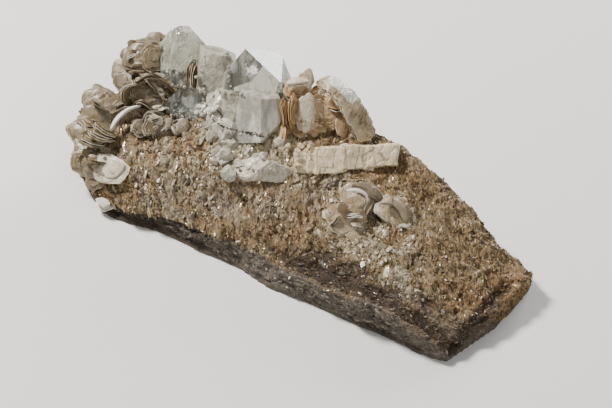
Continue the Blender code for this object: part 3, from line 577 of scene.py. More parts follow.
rng = np.random.default_rng(5)
at, skin_normal = scatter(rng, 15000, shown)
rich = np.exp(-(((at - seen_at(-38, 14, -6)) / (22, 16, 20)) ** 2).sum(1))
looks = unit(skin_normal * 0.9 + LAYER_UP * 0.4 + rng.normal(scale=0.4, size=at.shape))
radius = np.clip(rng.lognormal(math.log(0.33), 0.33, len(at)), 0.18, 1.0) * (1 + 0.7 * rich)
thick = radius * rng.uniform(0.22, 0.45, len(at))
per_point = {**zones(at), "shade": rng.uniform(0, 1, len(at))}
on_foot = np.maximum(per_point["grey"], per_point["dark"])[:, None]
round_it, along, _ = swirl(at)
way = (UP - 0.2 * RIGHT) * (1 - round_it[:, None]) + 1.5 * along * round_it[:, None]
way = way * (1 - on_foot) + np.array([1.0, 0.0, 0.0]) * on_foot
flake_points, flake_faces = lenses(rng, at + skin_normal * 0.02, looks, radius, thick, long=1.6, way=way)
flake_marks = {name: np.repeat(values, 8) for name, values in per_point.items()}
flake_points[:, 2] = np.maximum(flake_points[:, 2], 0.3)
piece("schist_flakes", flake_points, flake_faces, FLAKES, flake_marks, smooth=False)

# %% [markdown]
# ## The mica's finish
#
# Muscovite has a pearly shine on its leaves, which are greyish to lilac where they are clear and beige where
# they are stained, and pale patches of painted sheen lie along its creases. Its edges are cream, because
# light is caught between the leaves there. Brown iron stain creeps in from the edges, and some leaves have
# dark brown edges. Deep inside each rosette the mica is painted nearly black, as shade.


# %% Muscovite
def muscovite(name, face, warm, edge, stain, stained):
    net = Net(name)
    here = net.place()
    shade, rim, depth = net.mark("shade"), net.mark("rim"), net.mark("depth")
    bands = net.node("ShaderNodeTexNoise", {"noise_dimensions": "1D"}, W=rim * 9.0 + shade * 31.0, Scale=1.0, Detail=3.0)
    cloud = net.noise(here, 3.0, 4.0, 0.6)
    colour = net.mix(net.step(cloud + shade * 0.5, 0.5, 0.95), face, warm)
    colour = net.mix(net.mark("white") * net.step(cloud, 0.3, 0.5) * 0.9, colour, (0.7, 0.63, 0.5))
    outer = net.step(rim, 0.3, 0.9)
    colour = net.mix(net.step(bands, 0.45, 0.65) * outer * 0.3, colour, stain)
    colour = net.mix(net.step(bands, 0.42, 0.3) * outer * 0.15, colour, edge)
    patch = net.step(net.noise(here, 1.5, 4.0, 0.7, 0.6), 0.62 - stained, 0.8 - stained)
    colour = net.mix(patch * 0.7, colour, stain)
    border = net.step(rim, 0.972, 0.995)
    colour = net.mix(border * net.step(shade, 0.25, 0.5) * 0.9, colour, edge)
    colour = net.mix(border * net.step(shade, 0.8, 0.9), colour, (0.84, 0.81, 0.74))
    colour = net.mix(border * net.step(shade, 0.3, 0.1) * 0.8, colour, stain)
    # painted shade: deep in the rosette the mica is darkened nearly to black
    colour = net.mix(depth * 0.85, colour, (0.035, 0.021, 0.011))
    fine = net.noise(here, 0.4, 3.0, 0.65)
    creases = net.noise(net.place((0.5, 5.0, 1.5), SEEN_TURN), 0.7, 4.0, 0.65)
    colour = net.mix(net.step(creases, 0.52, 0.66) * 0.35, colour, stain)
    # painted sheen: pale patches along the creases, as if light caught on them, fainter deep in the rosette
    painted_sheen = net.step(net.noise(here, 1.5, 5.0, 0.7, 0.8), 0.55, 0.64) * net.step(creases, 0.56, 0.44)
    colour = net.mix(painted_sheen * (0.55 - depth * 0.5), colour, edge)
    rough = 0.28 + net.step(fine, 0.35, 0.75) * 0.3
    normal = net.bump(net.noise(here, 1.3, 5.0, 0.65), 0.18, 0.6)
    normal = net.bump(creases, 0.14, 0.7, normal)
    normal = net.bump(bands, 0.1, 0.6, normal)
    normal = net.bump(fine, 0.05, 0.6, normal)
    shine = 0.12 - depth * 0.11
    named = {"Base_Color": colour, "Roughness": rough, "Coat_Weight": shine, "Normal": normal}
    return net.done(net.shader(Coat_Roughness=0.2, **named))


def silver():
    """The curved book: silver-white where mark lit is 1, beige elsewhere, and crossed by fine lines."""
    net = Net("mica_silver")
    here = net.place()
    rim, shade, lit = net.mark("rim"), net.mark("shade"), net.mark("lit")
    lines = net.noise(net.place((0.25, 4.0, 4.0), (0.4, 0.9, 0.5)), 1.6, 3.0, 0.6)
    crossed = net.noise(net.place((4.0, 0.25, 4.0), (0.4, 0.9, 1.3)), 1.6, 3.0, 0.6)
    cloud = net.noise(here, 2.2, 4.0, 0.65)
    beige = net.mix(net.step(cloud, 0.35, 0.65), (0.15, 0.1, 0.045), (0.4, 0.32, 0.2))
    white = net.mix(net.step(lines, 0.46, 0.6) * 0.7, (0.88, 0.86, 0.81), (0.3, 0.25, 0.18))
    white = net.mix(net.step(crossed, 0.5, 0.62) * 0.6, white, (0.34, 0.28, 0.2))
    beige = net.mix(net.step(lines, 0.45, 0.6) * 0.5, beige, (0.5, 0.41, 0.27))
    colour = net.mix(net.step(lit + cloud * 0.9, 0.75, 1.15), beige, white)
    edge = net.mix(net.step(shade, 0.3, 0.7), (0.16, 0.09, 0.035), (0.72, 0.66, 0.55))
    colour = net.mix(net.step(rim, 0.93, 0.995) * 0.8, colour, edge)
    normal = net.bump(lines, 0.16, 0.8)
    normal = net.bump(cloud, 0.3, 0.7, normal)
    rough = 0.3 + net.step(cloud, 0.4, 0.7) * 0.25
    return net.done(net.shader(Base_Color=colour, Roughness=rough, Coat_Weight=lit * 0.5, Normal=normal))


BROWN = (0.06, 0.033, 0.012)
MICA_LEFT = muscovite("mica_beige", (0.235, 0.188, 0.118), (0.17, 0.118, 0.06), (0.62, 0.54, 0.4), BROWN, 0.08)
MICA_LILAC = muscovite("mica_lilac", (0.2, 0.16, 0.11), (0.15, 0.11, 0.062), (0.6, 0.53, 0.42), BROWN, 0.04)
MICA_SHELL = muscovite("mica_shell", (0.4, 0.32, 0.215), (0.3, 0.215, 0.12), (0.66, 0.58, 0.44), BROWN, 0.06)
MICA_PINK = muscovite("mica_pink", (0.52, 0.385, 0.235), (0.36, 0.225, 0.095), (0.52, 0.34, 0.14), (0.13, 0.062, 0.018), 0.1)
# painted highlight: mica so pale that it stands for light caught on it, on the corner flake, the crescent's edge, a
# thin rim and the glints
MICA_HIGHLIGHT = muscovite("mica_highlight", (0.74, 0.71, 0.64), (0.62, 0.57, 0.48), (0.86, 0.84, 0.8), (0.4, 0.35, 0.27), -0.2)
MICA_STACK = muscovite("mica_stack", (0.74, 0.7, 0.6), (0.5, 0.38, 0.22), (0.84, 0.8, 0.7), (0.15, 0.085, 0.03), 0.02)
MICA_SILVER = silver()

# %% [markdown]
# ## The mica books
#
# Mica grows in books: stacks of leaves that share one outline, with six or so uneven sides. Each book here
# is known by its root and tip, the way it looks, its width and thickness, how far its tip curls and how far
# its long edges bend. It is built leaf by leaf. A leaf is a thin closed skin of rings around two poles, and
# the leaves spread a little towards the tip, so that the edge shows fine steps.

# %% Books
BOOKS = {
    "mica_hood": [
        ((-45.5, 34.0, -26.5), (-45.0, 37.5, -16.5), (0, 1, 0.15), 18.0, 1.8, 0.0, -7.0),
        ((-49.5, 31.0, -24.5), (-53.0, 33.5, -15.5), (-0.8, 0.6, 0), 10.0, 1.2, 0.0, -2.5),
        ((-46.0, 28.5, -21.0), (-48.0, 30.0, -14.0), (0.2, 0.95, 0), 7.5, 1.0, 0.0, -2.0),
        ((-41.5, 31.0, -23.5), (-47.0, 37.0, -17.5), (0.7, 0.7, 0), 7.5, 1.2, 0.0, 0.0),
        ((-45.5, 35.0, -29.0), (-35.0, 33.5, -23.0), (0.4, 0.9, 0.1), 8.0, 1.2, -0.8, 0.0),
        ((-44.5, 32.5, -24.0), (-36.5, 31.0, -20.0), (0.3, 0.9, 0.2), 7.0, 1.0, -0.6, 0.0),
        ((-41.5, 28.5, -21.0), (-43.5, 32.0, -23.5), (0.0, 0.5, 0.85), 7.0, 1.8, 0.0, -0.8),
    ],
    "mica_rose": [
        ((-56.5, 27.5, -25.0), (-66.5, 34.0, -29.0), (-0.2, 0.3, 0.93), 10.5, 1.8, 0.0, -1.6),
        ((-56.5, 26.5, -23.0), (-63.0, 30.5, -17.0), (0.2, 0.9, 0.3), 8.0, 1.0, 0.5, 0.0),
        ((-45.5, 26.5, -19.0), (-58.5, 22.5, -19.0), (0.1, -0.3, 0.95), 9.0, 1.7, 0.0, 1.4),
        ((-56.0, 23.5, -19.5), (-66.0, 28.0, -23.0), (0.1, 0.7, 0.6), 8.5, 1.4, -0.8, -1.0),
        ((-56.5, 22.0, -20.5), (-66.0, 24.5, -17.5), (0.0, 0.9, 0.4), 8.5, 1.2, -0.8, -0.8),
        ((-59.0, 20.5, -19.5), (-70.5, 23.0, -23.5), (-0.25, 0.3, 0.9), 10.0, 1.8, -1.0, -1.4),
        ((-55.0, 20.5, -17.0), (-61.0, 22.0, -11.0), (0.4, 0.85, 0.3), 9.0, 1.2, 0.5, 0.0),
        ((-55.5, 19.0, -15.5), (-63.0, 20.0, -9.5), (0.4, 0.85, 0.3), 9.0, 1.3, 0.5, 0.0),
        ((-57.5, 18.5, -17.5), (-64.5, 17.5, -11.5), (0.3, 0.85, 0.35), 9.0, 1.2, 0.4, 0.0),
    ],
    "mica_back": [
        ((-47.0, 42.0, -29.0), (-55.0, 45.5, -32.0), (-0.2, 0.4, 0.88), 9.0, 2.4, 0.0, -1.2),
        ((-43.5, 39.5, -27.0), (-46.5, 47.5, -28.5), (0.1, 0.2, 0.96), 9.5, 1.6, 0.0, 0.0),
        ((-43.5, 44.0, -32.0), (-46.5, 51.5, -34.0), (-0.1, 0.2, 0.97), 8.5, 1.8, 0.0, -0.8),
        ((-50.5, 37.0, -31.0), (-58.5, 43.5, -36.5), (-0.4, 0.3, 0.85), 9.0, 1.8, 0.0, -0.8),
        ((-51.5, 34.0, -29.0), (-58.0, 38.5, -33.0), (-0.5, 0.1, 0.8), 7.5, 1.4, 0.0, -0.6),
    ],
    "mica_low": [
        ((-50.5, 9.0, -8.0), (-62.0, 11.5, -12.5), (-0.32, 0.25, 0.9), 9.5, 1.2, 0.0, 0.0),
        ((-60.0, 9.0, -14.5), (-68.5, 15.0, -19.0), (-0.4, 0.2, 0.88), 7.5, 1.4, 0.0, -0.6),
        ((-60.0, 12.5, -16.0), (-68.0, 18.5, -22.0), (-0.3, 0.5, 0.8), 7.0, 1.2, 0.0, -0.6),
        ((-58.0, 4.5, -12.5), (-64.0, 8.0, -15.0), (-0.3, 0.2, 0.9), 6.0, 1.2, 0.0, -0.6),
    ],
    "mica_scales": [
        ((-45.5, 20.0, -12.5), (-49.5, 24.5, -14.0), (0.1, 0.45, 0.88), 6.5, 1.2, 0.4, -0.4),
        ((-43.0, 19.5, -11.0), (-46.0, 24.0, -12.0), (0.3, 0.35, 0.88), 6.0, 1.1, 0.4, -0.4),
        ((-43.0, 22.5, -16.5), (-43.5, 27.5, -19.0), (0.1, 0.5, 0.85), 7.0, 1.8, 0.0, -0.8),
        ((-40.5, 20.0, -13.0), (-38.0, 25.0, -13.5), (0.6, -0.2, 0.76), 4.5, 0.9, 0.0, 0.0),
        ((-37.0, 19.5, -10.0), (-34.0, 24.5, -12.5), (0.1, 0.4, 0.9), 5.5, 1.2, 0.0, -0.5),
    ],
    "mica_right": [
        ((-2.5, 29.5, -6.0), (-2.0, 36.5, -11.0), (0.1, 0.6, 0.78), 8.5, 2.6, 0.0, 0.0),
        ((-5.5, 20.0, -5.5), (-6.0, 30.5, -4.5), (0.9, 0.0, 0.4), 6.5, 1.2, 0.0, 0.6),
        ((-3.5, 20.0, -4.5), (-4.0, 31.5, -3.5), (0.85, 0.0, 0.5), 7.0, 1.2, 0.4, 0.6),
        ((-6.5, 16.5, -2.5), (-8.5, 22.0, -7.0), (-0.8, 0.2, 0.6), 6.5, 1.2, 0.0, 0.0),
        ((-0.5, 19.5, -3.5), (0.5, 32.0, -4.0), (0.15, 0.05, 0.98), 6.5, 1.8, 0.0, -0.8),
        ((2.5, 21.0, -6.0), (4.0, 32.0, -5.5), (0.35, -0.1, 0.93), 6.0, 1.2, 0.0, 0.0),
        ((-1.0, 30.5, -8.0), (1.0, 38.5, -8.5), (0.3, 0.0, 0.95), 5.5, 1.4, 0.0, 0.0),
        ((5.0, 22.0, -6.0), (4.0, 32.5, -7.5), (0.6, 0.2, 0.8), 5.5, 1.2, 0.0, -0.5),
        ((7.5, 21.0, -5.5), (8.5, 31.0, -7.0), (-0.2, 0.4, 0.9), 5.5, 1.2, 0.0, -0.5),
        ((9.5, 19.0, -4.5), (12.5, 25.5, -6.0), (0.4, 0.3, 0.85), 6.0, 1.2, 0.0, -0.5),
        ((1.5, 24.0, -8.0), (4.6, 34.5, -9.5), (0.5, 0.1, 0.85), 6.0, 0.9, 0.0, -0.5),
        ((5.0, 25.0, -9.0), (8.0, 33.5, -10.0), (-0.3, 0.3, 0.9), 6.5, 0.9, 0.0, -0.5),
    ],
    "mica_rosette_left": [
        ((15.0, -4.0, 12.5), (3.5, -2.5, 9.5), (-0.15, 0.5, 0.85), 9.0, 2.0, 0.0, -1.6),
        ((15.5, -3.5, 12.0), (11.0, 3.0, 8.5), (-0.4, 0.25, 0.88), 9.0, 1.4, 0.0, -1.6),
        ((16.0, -5.5, 13.0), (5.5, -7.5, 12.5), (-0.1, 0.2, 0.97), 9.5, 1.6, 0.0, -1.4),
        ((14.5, -1.0, 11.0), (12.0, 6.0, 6.5), (-0.15, 0.5, 0.85), 7.5, 1.0, 1.0, -1.2),
        ((15.0, -6.5, 13.0), (12.5, -12.5, 14.0), (0.0, 0.15, 0.98), 10.0, 1.6, 0.0, -0.8),
    ],
    "mica_rosette_right": [
        ((22.5, -2.0, 10.0), (14.5, 6.0, 7.5), (0.2, 0.5, 0.85), 8.5, 1.1, 0.6, -1.6),
        ((22.5, -2.5, 10.0), (30.0, 4.5, 4.5), (0.2, 0.5, 0.85), 9.0, 1.4, 0.0, -1.0),
        ((22.0, -5.0, 12.5), (23.0, 2.0, 10.5), (0.3, 0.2, 0.93), 8.0, 1.3, 0.6, -1.0),
        ((22.5, -6.0, 14.0), (30.0, -2.0, 10.0), (0.3, 0.3, 0.9), 8.5, 1.3, 0.0, -0.8),
        ((23.0, -5.0, 11.5), (26.5, -12.5, 11.5), (0.2, 0.1, 0.97), 9.5, 1.6, 0.0, -0.8),
    ],
    "mica_standing": [
        ((-33.5, 31.0, -24.5), (-32.5, 42.0, -25.5), (0.95, 0.0, 0.3), 7.0, 2.2, 0.0, 0.0),
    ],
    "mica_corner_flake": [
        ((-55.5, -1.0, -11.8), (-60.5, 1.5, -13.4), (-0.1, 0.5, 0.85), 3.6, 2.0, 0.0, 0.0),
    ],
}
WHITE_BOOKS = {  # books whose faces are white, by their place in the lists above
    "mica_right": (4, 6, 7),
    "mica_scales": (3,),
    "mica_low": (0,),
    "mica_rosette_right": (2,),
}
CORES = {
    "mica_hood": [((-46.0, 31.5, -23.5), (10.0, 7.0, 5.0))],
    "mica_rose": [((-58.5, 23.5, -22.5), (9.5, 10.5, 5.0))],
    "mica_back": [((-48.0, 43.0, -33.0), (7.5, 7.5, 6.5))],
    "mica_low": [((-58.5, 11.0, -14.5), (7.5, 6.0, 3.5))],
    "mica_scales": [((-42.0, 21.5, -14.5), (9.5, 4.0, 2.6))],
    "mica_right": [((-1.0, 23.5, -8.0), (8.5, 7.5, 3.5)), ((6.6, 26.0, -9.0), (6.4, 6.4, 4.2))],
    "mica_rosette_left": [((12.0, -4.0, 11.5), (5.5, 5.0, 2.5))],
    "mica_rosette_right": [((24.5, -2.5, 11.0), (5.0, 5.5, 2.5))],
}
LEAF = 0.29  # one leaf and the gap to the next
STEPS = 32
RINGS = np.array([0.4, 0.76, 0.97, 1.0])  # the rings of a leaf, from its middle to its edge
SMALL_RINGS = np.array([0.6, 0.97, 1.0])


def outline_of(rng, sides, turn, low=0.8, high=1.12):
    """How far out an uneven polygon's edge lies at each turn: straight from corner to corner."""
    corner = 2 * np.pi * (np.arange(sides) + rng.uniform(-0.22, 0.22, sides)) / sides
    far = rng.uniform(low, high, sides) / np.cos(np.pi / sides) ** 0.5
    x, y = far * np.cos(corner), far * np.sin(corner)
    x, y = np.append(x, x[0]), np.append(y, y[0])
    along = np.linspace(0, sides, 40 * sides, endpoint=False)
    edge = np.interp(along, np.arange(sides + 1), x), np.interp(along, np.arange(sides + 1), y)
    angle = np.unwrap(np.arctan2(edge[1], edge[0]))
    return np.interp((turn - angle[0]) % (2 * np.pi), angle - angle[0], np.hypot(*edge), period=2 * np.pi)


def bites(rng, count, turn, number=3):
    """Chips out of the leaves' edges: 1 - depth * exp(-(distance / width)**2) for a few turns of each leaf."""
    total = np.ones((count, len(turn)))
    for _ in range(number):
        away = (turn - rng.uniform(0, 2 * np.pi, (count, 1)) + np.pi) % (2 * np.pi) - np.pi
        total -= rng.uniform(0.0, 0.2, (count, 1)) * np.exp(-((away / rng.uniform(0.15, 0.4, (count, 1))) ** 2))
    return total


def leaves_of(values, rng, shares=RINGS):
    """The leaves of one book as poles and rings. A point at (a, b) of the outline lies at
    middle + out * a * half + side * b * width / 2 + flat * (curl * ((a + 1) / 2)**2 + arch * b**2 + height),
    and the leaves fan out towards the tip, where a is 1."""
    root, tip, looks, width, thickness, curl, arch = values
    root, tip = seen_at(*root), seen_at(*tip)
    out = unit(tip - root)
    flat = np.array(looks, float) @ VIEW
    flat = unit(flat - out * (flat @ out))
    side = np.cross(flat, out)
    middle, half = (root + tip) / 2, np.linalg.norm(tip - root) / 2
    count = max(3, round(thickness / LEAF))
    turn = 2 * np.pi * np.arange(STEPS) / STEPS
    outline = outline_of(rng, rng.integers(5, 8), turn) * bites(rng, 1, turn)
    own_outline = np.stack([outline_of(rng, 6, turn, 0.85, 1.12) for _ in range(count)])
    level = (np.arange(count) + 0.5) / count - 0.5
    shrink = 1 - rng.uniform(0, 0.12, count) - np.clip(level, 0, 1) * rng.uniform(0.5, 1.0)
    teeth = bites(rng, count, turn, 4) + rng.normal(scale=0.016, size=(count, STEPS))
    reach = (0.7 * outline + 0.3 * own_outline) * teeth * shrink[:, None]
    share = np.concatenate([shares, shares[::-1]])
    sign = np.repeat([1.0, -1.0], len(shares)) * np.where(share == 1.0, 0.5, 1.0)
    a = share[None, :, None] * reach[:, None] * np.cos(turn) + rng.uniform(-0.13, 0.13, (count, 1, 1))
    b = share[None, :, None] * reach[:, None] * np.sin(turn) + rng.uniform(-0.13, 0.13, (count, 1, 1))
    a, b = (np.concatenate([np.broadcast_to(x.mean((1, 2))[:, None], (count, 2)), x.reshape(count, -1)], 1) for x in (a, b))
    sign = np.concatenate([[1.0, -1.0], np.repeat(sign, STEPS)])
    spread = 0.7 + 1.1 * (a + 1) / 2
    tilts = rng.normal(scale=0.1, size=(2, count, 1))
    height = thickness * (level[:, None] * spread + sign * 0.4 / count) + tilts[0] * a + tilts[1] * b
    height += curl * ((a + 1) / 2) ** 2 + arch * b**2
    place = middle + out * (a * half)[..., None] + side * (b * width / 2)[..., None]
    flatly = place.reshape(-1, 3)
    waves = 0.34 * lattice(flatly, 3.6, 81) + 0.12 * lattice(flatly, 1.3, 82)
    own = 0.06 * lattice(flatly + np.repeat(np.arange(count) * 7.3, a.shape[1])[:, None], 1.4, 83)
    place = place + flat * (height + (waves + own).reshape(a.shape))[..., None]
    rim = np.concatenate([[0.0, 0.0], np.repeat(share, STEPS)])
    stripes = np.clip(np.repeat(rng.uniform(0, 1, count), rng.integers(1, 4, count))[:count] + rng.normal(scale=0.08, size=count), 0, 1)
    marks = {"rim": np.tile(rim, count), "shade": np.repeat(stripes, a.shape[1])}
    return place[:, :2], place[:, 2:].reshape(count, len(share), STEPS, 3), marks


def core_of(middle, half, rng):
    """The intergrown middle of a rosette: an ellipsoid of rings, made uneven by small leaves."""
    rows, steps = 36, 60
    up = np.pi * (np.arange(rows) + 0.5) / rows
    turn = 2 * np.pi * np.arange(steps) / steps
    ring = np.stack([np.sin(up)[:, None] * np.cos(turn), np.cos(up)[:, None] + 0 * turn, np.sin(up)[:, None] * np.sin(turn)], -1)
    both = np.concatenate([[[0, 1, 0], [0, -1, 0]], ring.reshape(-1, 3)]).astype(float)
    place = both * half
    _, _, value = grains(place * (0.5, 1.4, 0.5), 1.6, 91)
    place = place * (0.8 + 0.14 * value[:, None])
    points = VIEW_CENTRE + (np.array(middle) + place) @ VIEW
    return points[None, :2], points[None, 2:].reshape(1, rows, steps, 3)


def stuffing(middle, half, rng, count):
    """Small books that crowd over a core: their roots lie on its ellipsoid, and they stand out of it on edge,
    thin and curved, as values for leaves_of."""
    looks = unit(rng.normal(size=(count, 3)) + (0, 0.1, 0.6))
    roots = np.array(middle) + looks * np.array(half) * rng.uniform(0.4, 0.66, (count, 1))
    reach = rng.uniform(2.4, 4.6, count)
    lean = unit(looks * (1, 1, 0.6) + rng.normal(scale=0.35, size=(count, 3)))
    tips = roots + lean * reach[:, None]
    faces = unit(np.cross(lean, unit(rng.normal(size=(count, 3)) * (1.2, 0.4, 0.5))) + (0, 0.2, 0.2))
    widths, thick = rng.uniform(3.0, 6.0, count), rng.uniform(0.35, 0.9, count)
    curls, arches = rng.uniform(-0.8, 0.5, count), rng.uniform(-1.3, 0.2, count)
    return list(zip(roots, tips, faces, widths, thick, curls, arches))


STUFFING = 22  # small books over each core of the large clusters
SPARSE = 7  # and of the small rosette


def cluster(name, finish, seed):
    """All the books of one cluster and its core, as one piece."""
    rng = np.random.default_rng(seed)
    parts, first = [], 0
    books = [(values, RINGS, float(k in WHITE_BOOKS.get(name, ()))) for k, values in enumerate(BOOKS[name])]
    count = SPARSE if "rosette" in name else STUFFING
    for core in CORES.get(name, []):
        books += [(values, SMALL_RINGS, float(rng.uniform() > 0.85)) for values in stuffing(*core, rng, count)]
    for values, shares, white in books:
        poles, rings, marks = leaves_of(values, rng, shares)
        marks["white"] = np.full(len(marks["rim"]), white)
        parts.append((*skins(poles, rings), marks))
    for core in CORES.get(name, []):
        points, faces = skins(*core_of(*core, rng))
        marks = {"rim": np.zeros(len(points)), "shade": np.full(len(points), 0.4), "white": np.zeros(len(points))}
        parts.append((points, faces, marks))
    for k, (points, faces, _) in enumerate(parts):
        parts[k][1][:] = faces + first
        first += len(points)
    points = np.concatenate([part[0] for part in parts])
    faces = np.concatenate([part[1] for part in parts])
    marks = {key: np.concatenate([part[2][key] for part in parts]) for key in ("rim", "shade", "white")}
    # depth: how far painted shade darkens the inside of the rosette
    marks["depth"] = buried(points, name)
    return piece(name + "_leaves", points, faces, finish, marks, stands_for=(name,))


def buried(points, name):
    """How deep in its rosette a point lies: 1 inside the core, 0 well clear of it. The mica's finish
    paints shade by it, darker the deeper.
    """
    deep = np.zeros(len(points))
    for middle, half in CORES.get(name, []):
        local = (points - seen_at(*middle)) @ VIEW.T / (np.array(half) * 1.05)
        deep = np.maximum(deep, 1 - smooth_step(np.linalg.norm(local, axis=1), 0.5, 0.92))
    return deep


MICA = {
    "mica_hood": MICA_LEFT,
    "mica_rose": MICA_LEFT,
    "mica_back": MICA_LEFT,
    "mica_low": MICA_LEFT,
    "mica_scales": MICA_LILAC,
    "mica_right": MICA_PINK,
    "mica_rosette_left": MICA_SHELL,
    "mica_rosette_right": MICA_SHELL,
    "mica_standing": MICA_LEFT,
    # painted highlight: the corner flake is painted white where light falls on it
    "mica_corner_flake": MICA_HIGHLIGHT,
}
for seed, (name, finish) in enumerate(MICA.items()):
    cluster(name, finish, 100 + seed)

# %% [markdown]
# ## The curved book
#
# The largest book of the right-hand mica bends like a claw. Its leaves are strips along one curve: an oval
# of points across the curve at every station, drawn in to a pole at both ends.

# %% Curved books
CURVE = (np.array([
    (49.5, 45.0, 36.0), (54.0, 45.5, 37.6), (58.5, 45.0, 36.0),
    (62.6, 44.5, 32.4), (66.0, 44.0, 28.4), (68.8, 43.5, 24.6),
]) - DRAWING_MIDDLE - VIEW_CENTRE) @ VIEW.T
CURVE_HALF = np.array([2.0, 2.6, 3.0, 3.4, 3.6, 3.6])
CURVE_THICK, CURVE_DROP = 1.3, 0.8
CURVE_LOOKS = (0.3, 0.35, 0.9)


def spline(values, at):
    """A Catmull-Rom curve through values, read at 0 to len(values) - 1."""
    values = np.asarray(values, float)
    last = len(values) - 1
    i = np.clip(np.floor(at).astype(int), 0, last - 1)
    t = (at - i).reshape((-1,) + (1,) * (values.ndim - 1))
    p, q, r, s = (values[np.clip(i + k, 0, last)] for k in (-1, 0, 1, 2))
    return q + 0.5 * ((r - p) * t + (2 * p - 5 * q + 4 * r - s) * t**2 + (3 * q - p - 3 * r + s) * t**3)


def bent_leaves(rng, curve, halves, thick, drop, looks, count, rows=48, steps=24):
    """Leaves along a curve seen from the best side. At each station an oval stands across the curve, at
    middle + across * b * half + flat * (thick * (level + thin) - drop * |b|**1.3)."""
    looks = unit(np.array(looks) @ VIEW)
    curve = VIEW_CENTRE + np.array(curve) @ VIEW
    turn = 2 * np.pi * np.arange(steps) / steps
    b = np.sign(np.cos(turn)) * np.abs(np.cos(turn)) ** 0.35
    thin = np.sign(np.sin(turn)) * np.abs(np.sin(turn)) ** 0.35
    poles, rings = [], []
    for level in (np.arange(count) + 0.5) / count - 0.5:
        along = np.linspace(rng.uniform(0.0, 0.3), len(curve) - 1 - rng.uniform(0.0, 0.35), rows)
        middle, half = spline(curve, along), spline(halves, along)
        ahead = unit(np.gradient(middle, axis=0))
        across = unit(np.cross(ahead, looks))
        flat = np.cross(across, ahead)
        taper = np.sqrt(np.clip(1 - np.linspace(-1, 1, rows) ** 10, 0.05, 1))
        ragged = 1 + 0.26 * lattice(middle, 2.2, rng.integers(1000)) + 0.05 * rng.normal(size=rows)
        middle = middle + across * rng.uniform(-0.1, 0.1) * half[:, None]
        wide = (half * taper * (1 - rng.uniform(0, 0.05) - 0.3 * max(level, 0)) * ragged)[:, None]
        rise = thick * (level + thin * 0.42 / count) - drop * np.abs(b) ** 1.3
        ring = middle[:, None] + across[:, None] * (wide * b)[..., None] + flat[:, None] * (rise + 0 * wide)[..., None]
        wave = 0.08 * halves[0] * fractal(ring.reshape(-1, 3), 3.0, 84, 2).reshape(rows, steps, 1)
        rings.append(ring + flat[:, None] * wave)
        poles.append([rings[-1][0].mean(0), rings[-1][-1].mean(0)])
    points, faces = skins(np.array(poles), np.array(rings))
    lit = smooth_step(along, 0.3, 1.3) * (1 - smooth_step(along, 2.2, 3.2))
    lit = lit[:, None] * smooth_step(-b, -0.75, 0.2)
    marks = {
        "rim": np.tile(np.concatenate([[1, 1], np.tile(np.abs(b), rows)]), count),
        "lit": np.tile(np.concatenate([[0, 0], lit.ravel()]), count),
        "shade": np.repeat(rng.uniform(0, 1, count), 2 + rows * steps),
    }
    return points, faces, marks


rng = np.random.default_rng(3)
bent = bent_leaves(rng, CURVE, CURVE_HALF, CURVE_THICK, CURVE_DROP, CURVE_LOOKS, 7)
piece("mica_curved_leaves", bent[0], bent[1], MICA_SILVER, bent[2], stands_for=("mica_curved",))

# Thin bent leaves elsewhere, by name: finish, curve, half widths, thickness, drop, the way they look, leaves.
BENT = {
    # painted highlight along the crescent's edge
    "mica_crescent_edge": (
        MICA_HIGHLIGHT, [(-56.3, 21.0, -13.5), (-54.6, 24.4, -14.5), (-51.6, 27.2, -15.5), (-47.6, 28.6, -16.5)],
        [0.35, 0.75, 0.6, 0.25], 0.7, 0.1, (-0.5, 0.5, 0.7), 3,
    ),
    "mica_fold_rim": (
        MICA_LILAC, [(12.4, 5.4, 11.5), (15.8, 5.2, 11.5), (19.0, 3.4, 11.5), (21.6, 0.6, 11.0)],
        [0.7, 1.3, 1.5, 0.9], 0.6, 1.0, (0.2, 0.5, 0.8), 3,
    ),
    # painted highlight along a thin rim
    "mica_white_rim": (
        MICA_HIGHLIGHT, [(10.8, 3.6, 14.0), (13.6, 3.9, 14.5), (16.2, 2.6, 14.5), (17.0, 0.4, 14.5)],
        [0.3, 0.5, 0.45, 0.25], 0.4, 0.1, (0.1, 0.5, 0.85), 2,
    ),
    "mica_white_stack": (
        MICA_STACK, [(-5.6, 33.6, -4.4), (-3.7, 34.3, -4.8), (-1.6, 34.6, -5.2), (0.6, 34.4, -5.6)],
        [0.8, 1.15, 1.15, 0.8], 1.7, 0.05, (-0.1, 0.62, 0.78), 4,
    ),
    "mica_lobe_rim": (
        MICA_SHELL, [(20.0, 0.4, 14.5), (23.4, 0.9, 14.5), (26.0, -1.2, 14.0), (26.8, -4.6, 13.5)],
        [0.7, 1.3, 1.3, 0.6], 0.6, 0.4, (0.2, 0.4, 0.9), 3,
    ),
}
for name, (finish, *shape) in BENT.items():
    bent = bent_leaves(rng, *shape, rows=30, steps=14)
    piece(name, bent[0], bent[1], finish, bent[2])

# %% [markdown]
# ## Clear crystals
#
# Topaz is colourless here, and denser to light than glass, with an index of 1.62. Fine growth lines run
# along its prism faces. Veils of tiny bubbles hang in it, so that parts of it look milky. Its faces are
# flat and its edges sharp, only worn by a tenth of a millimetre.


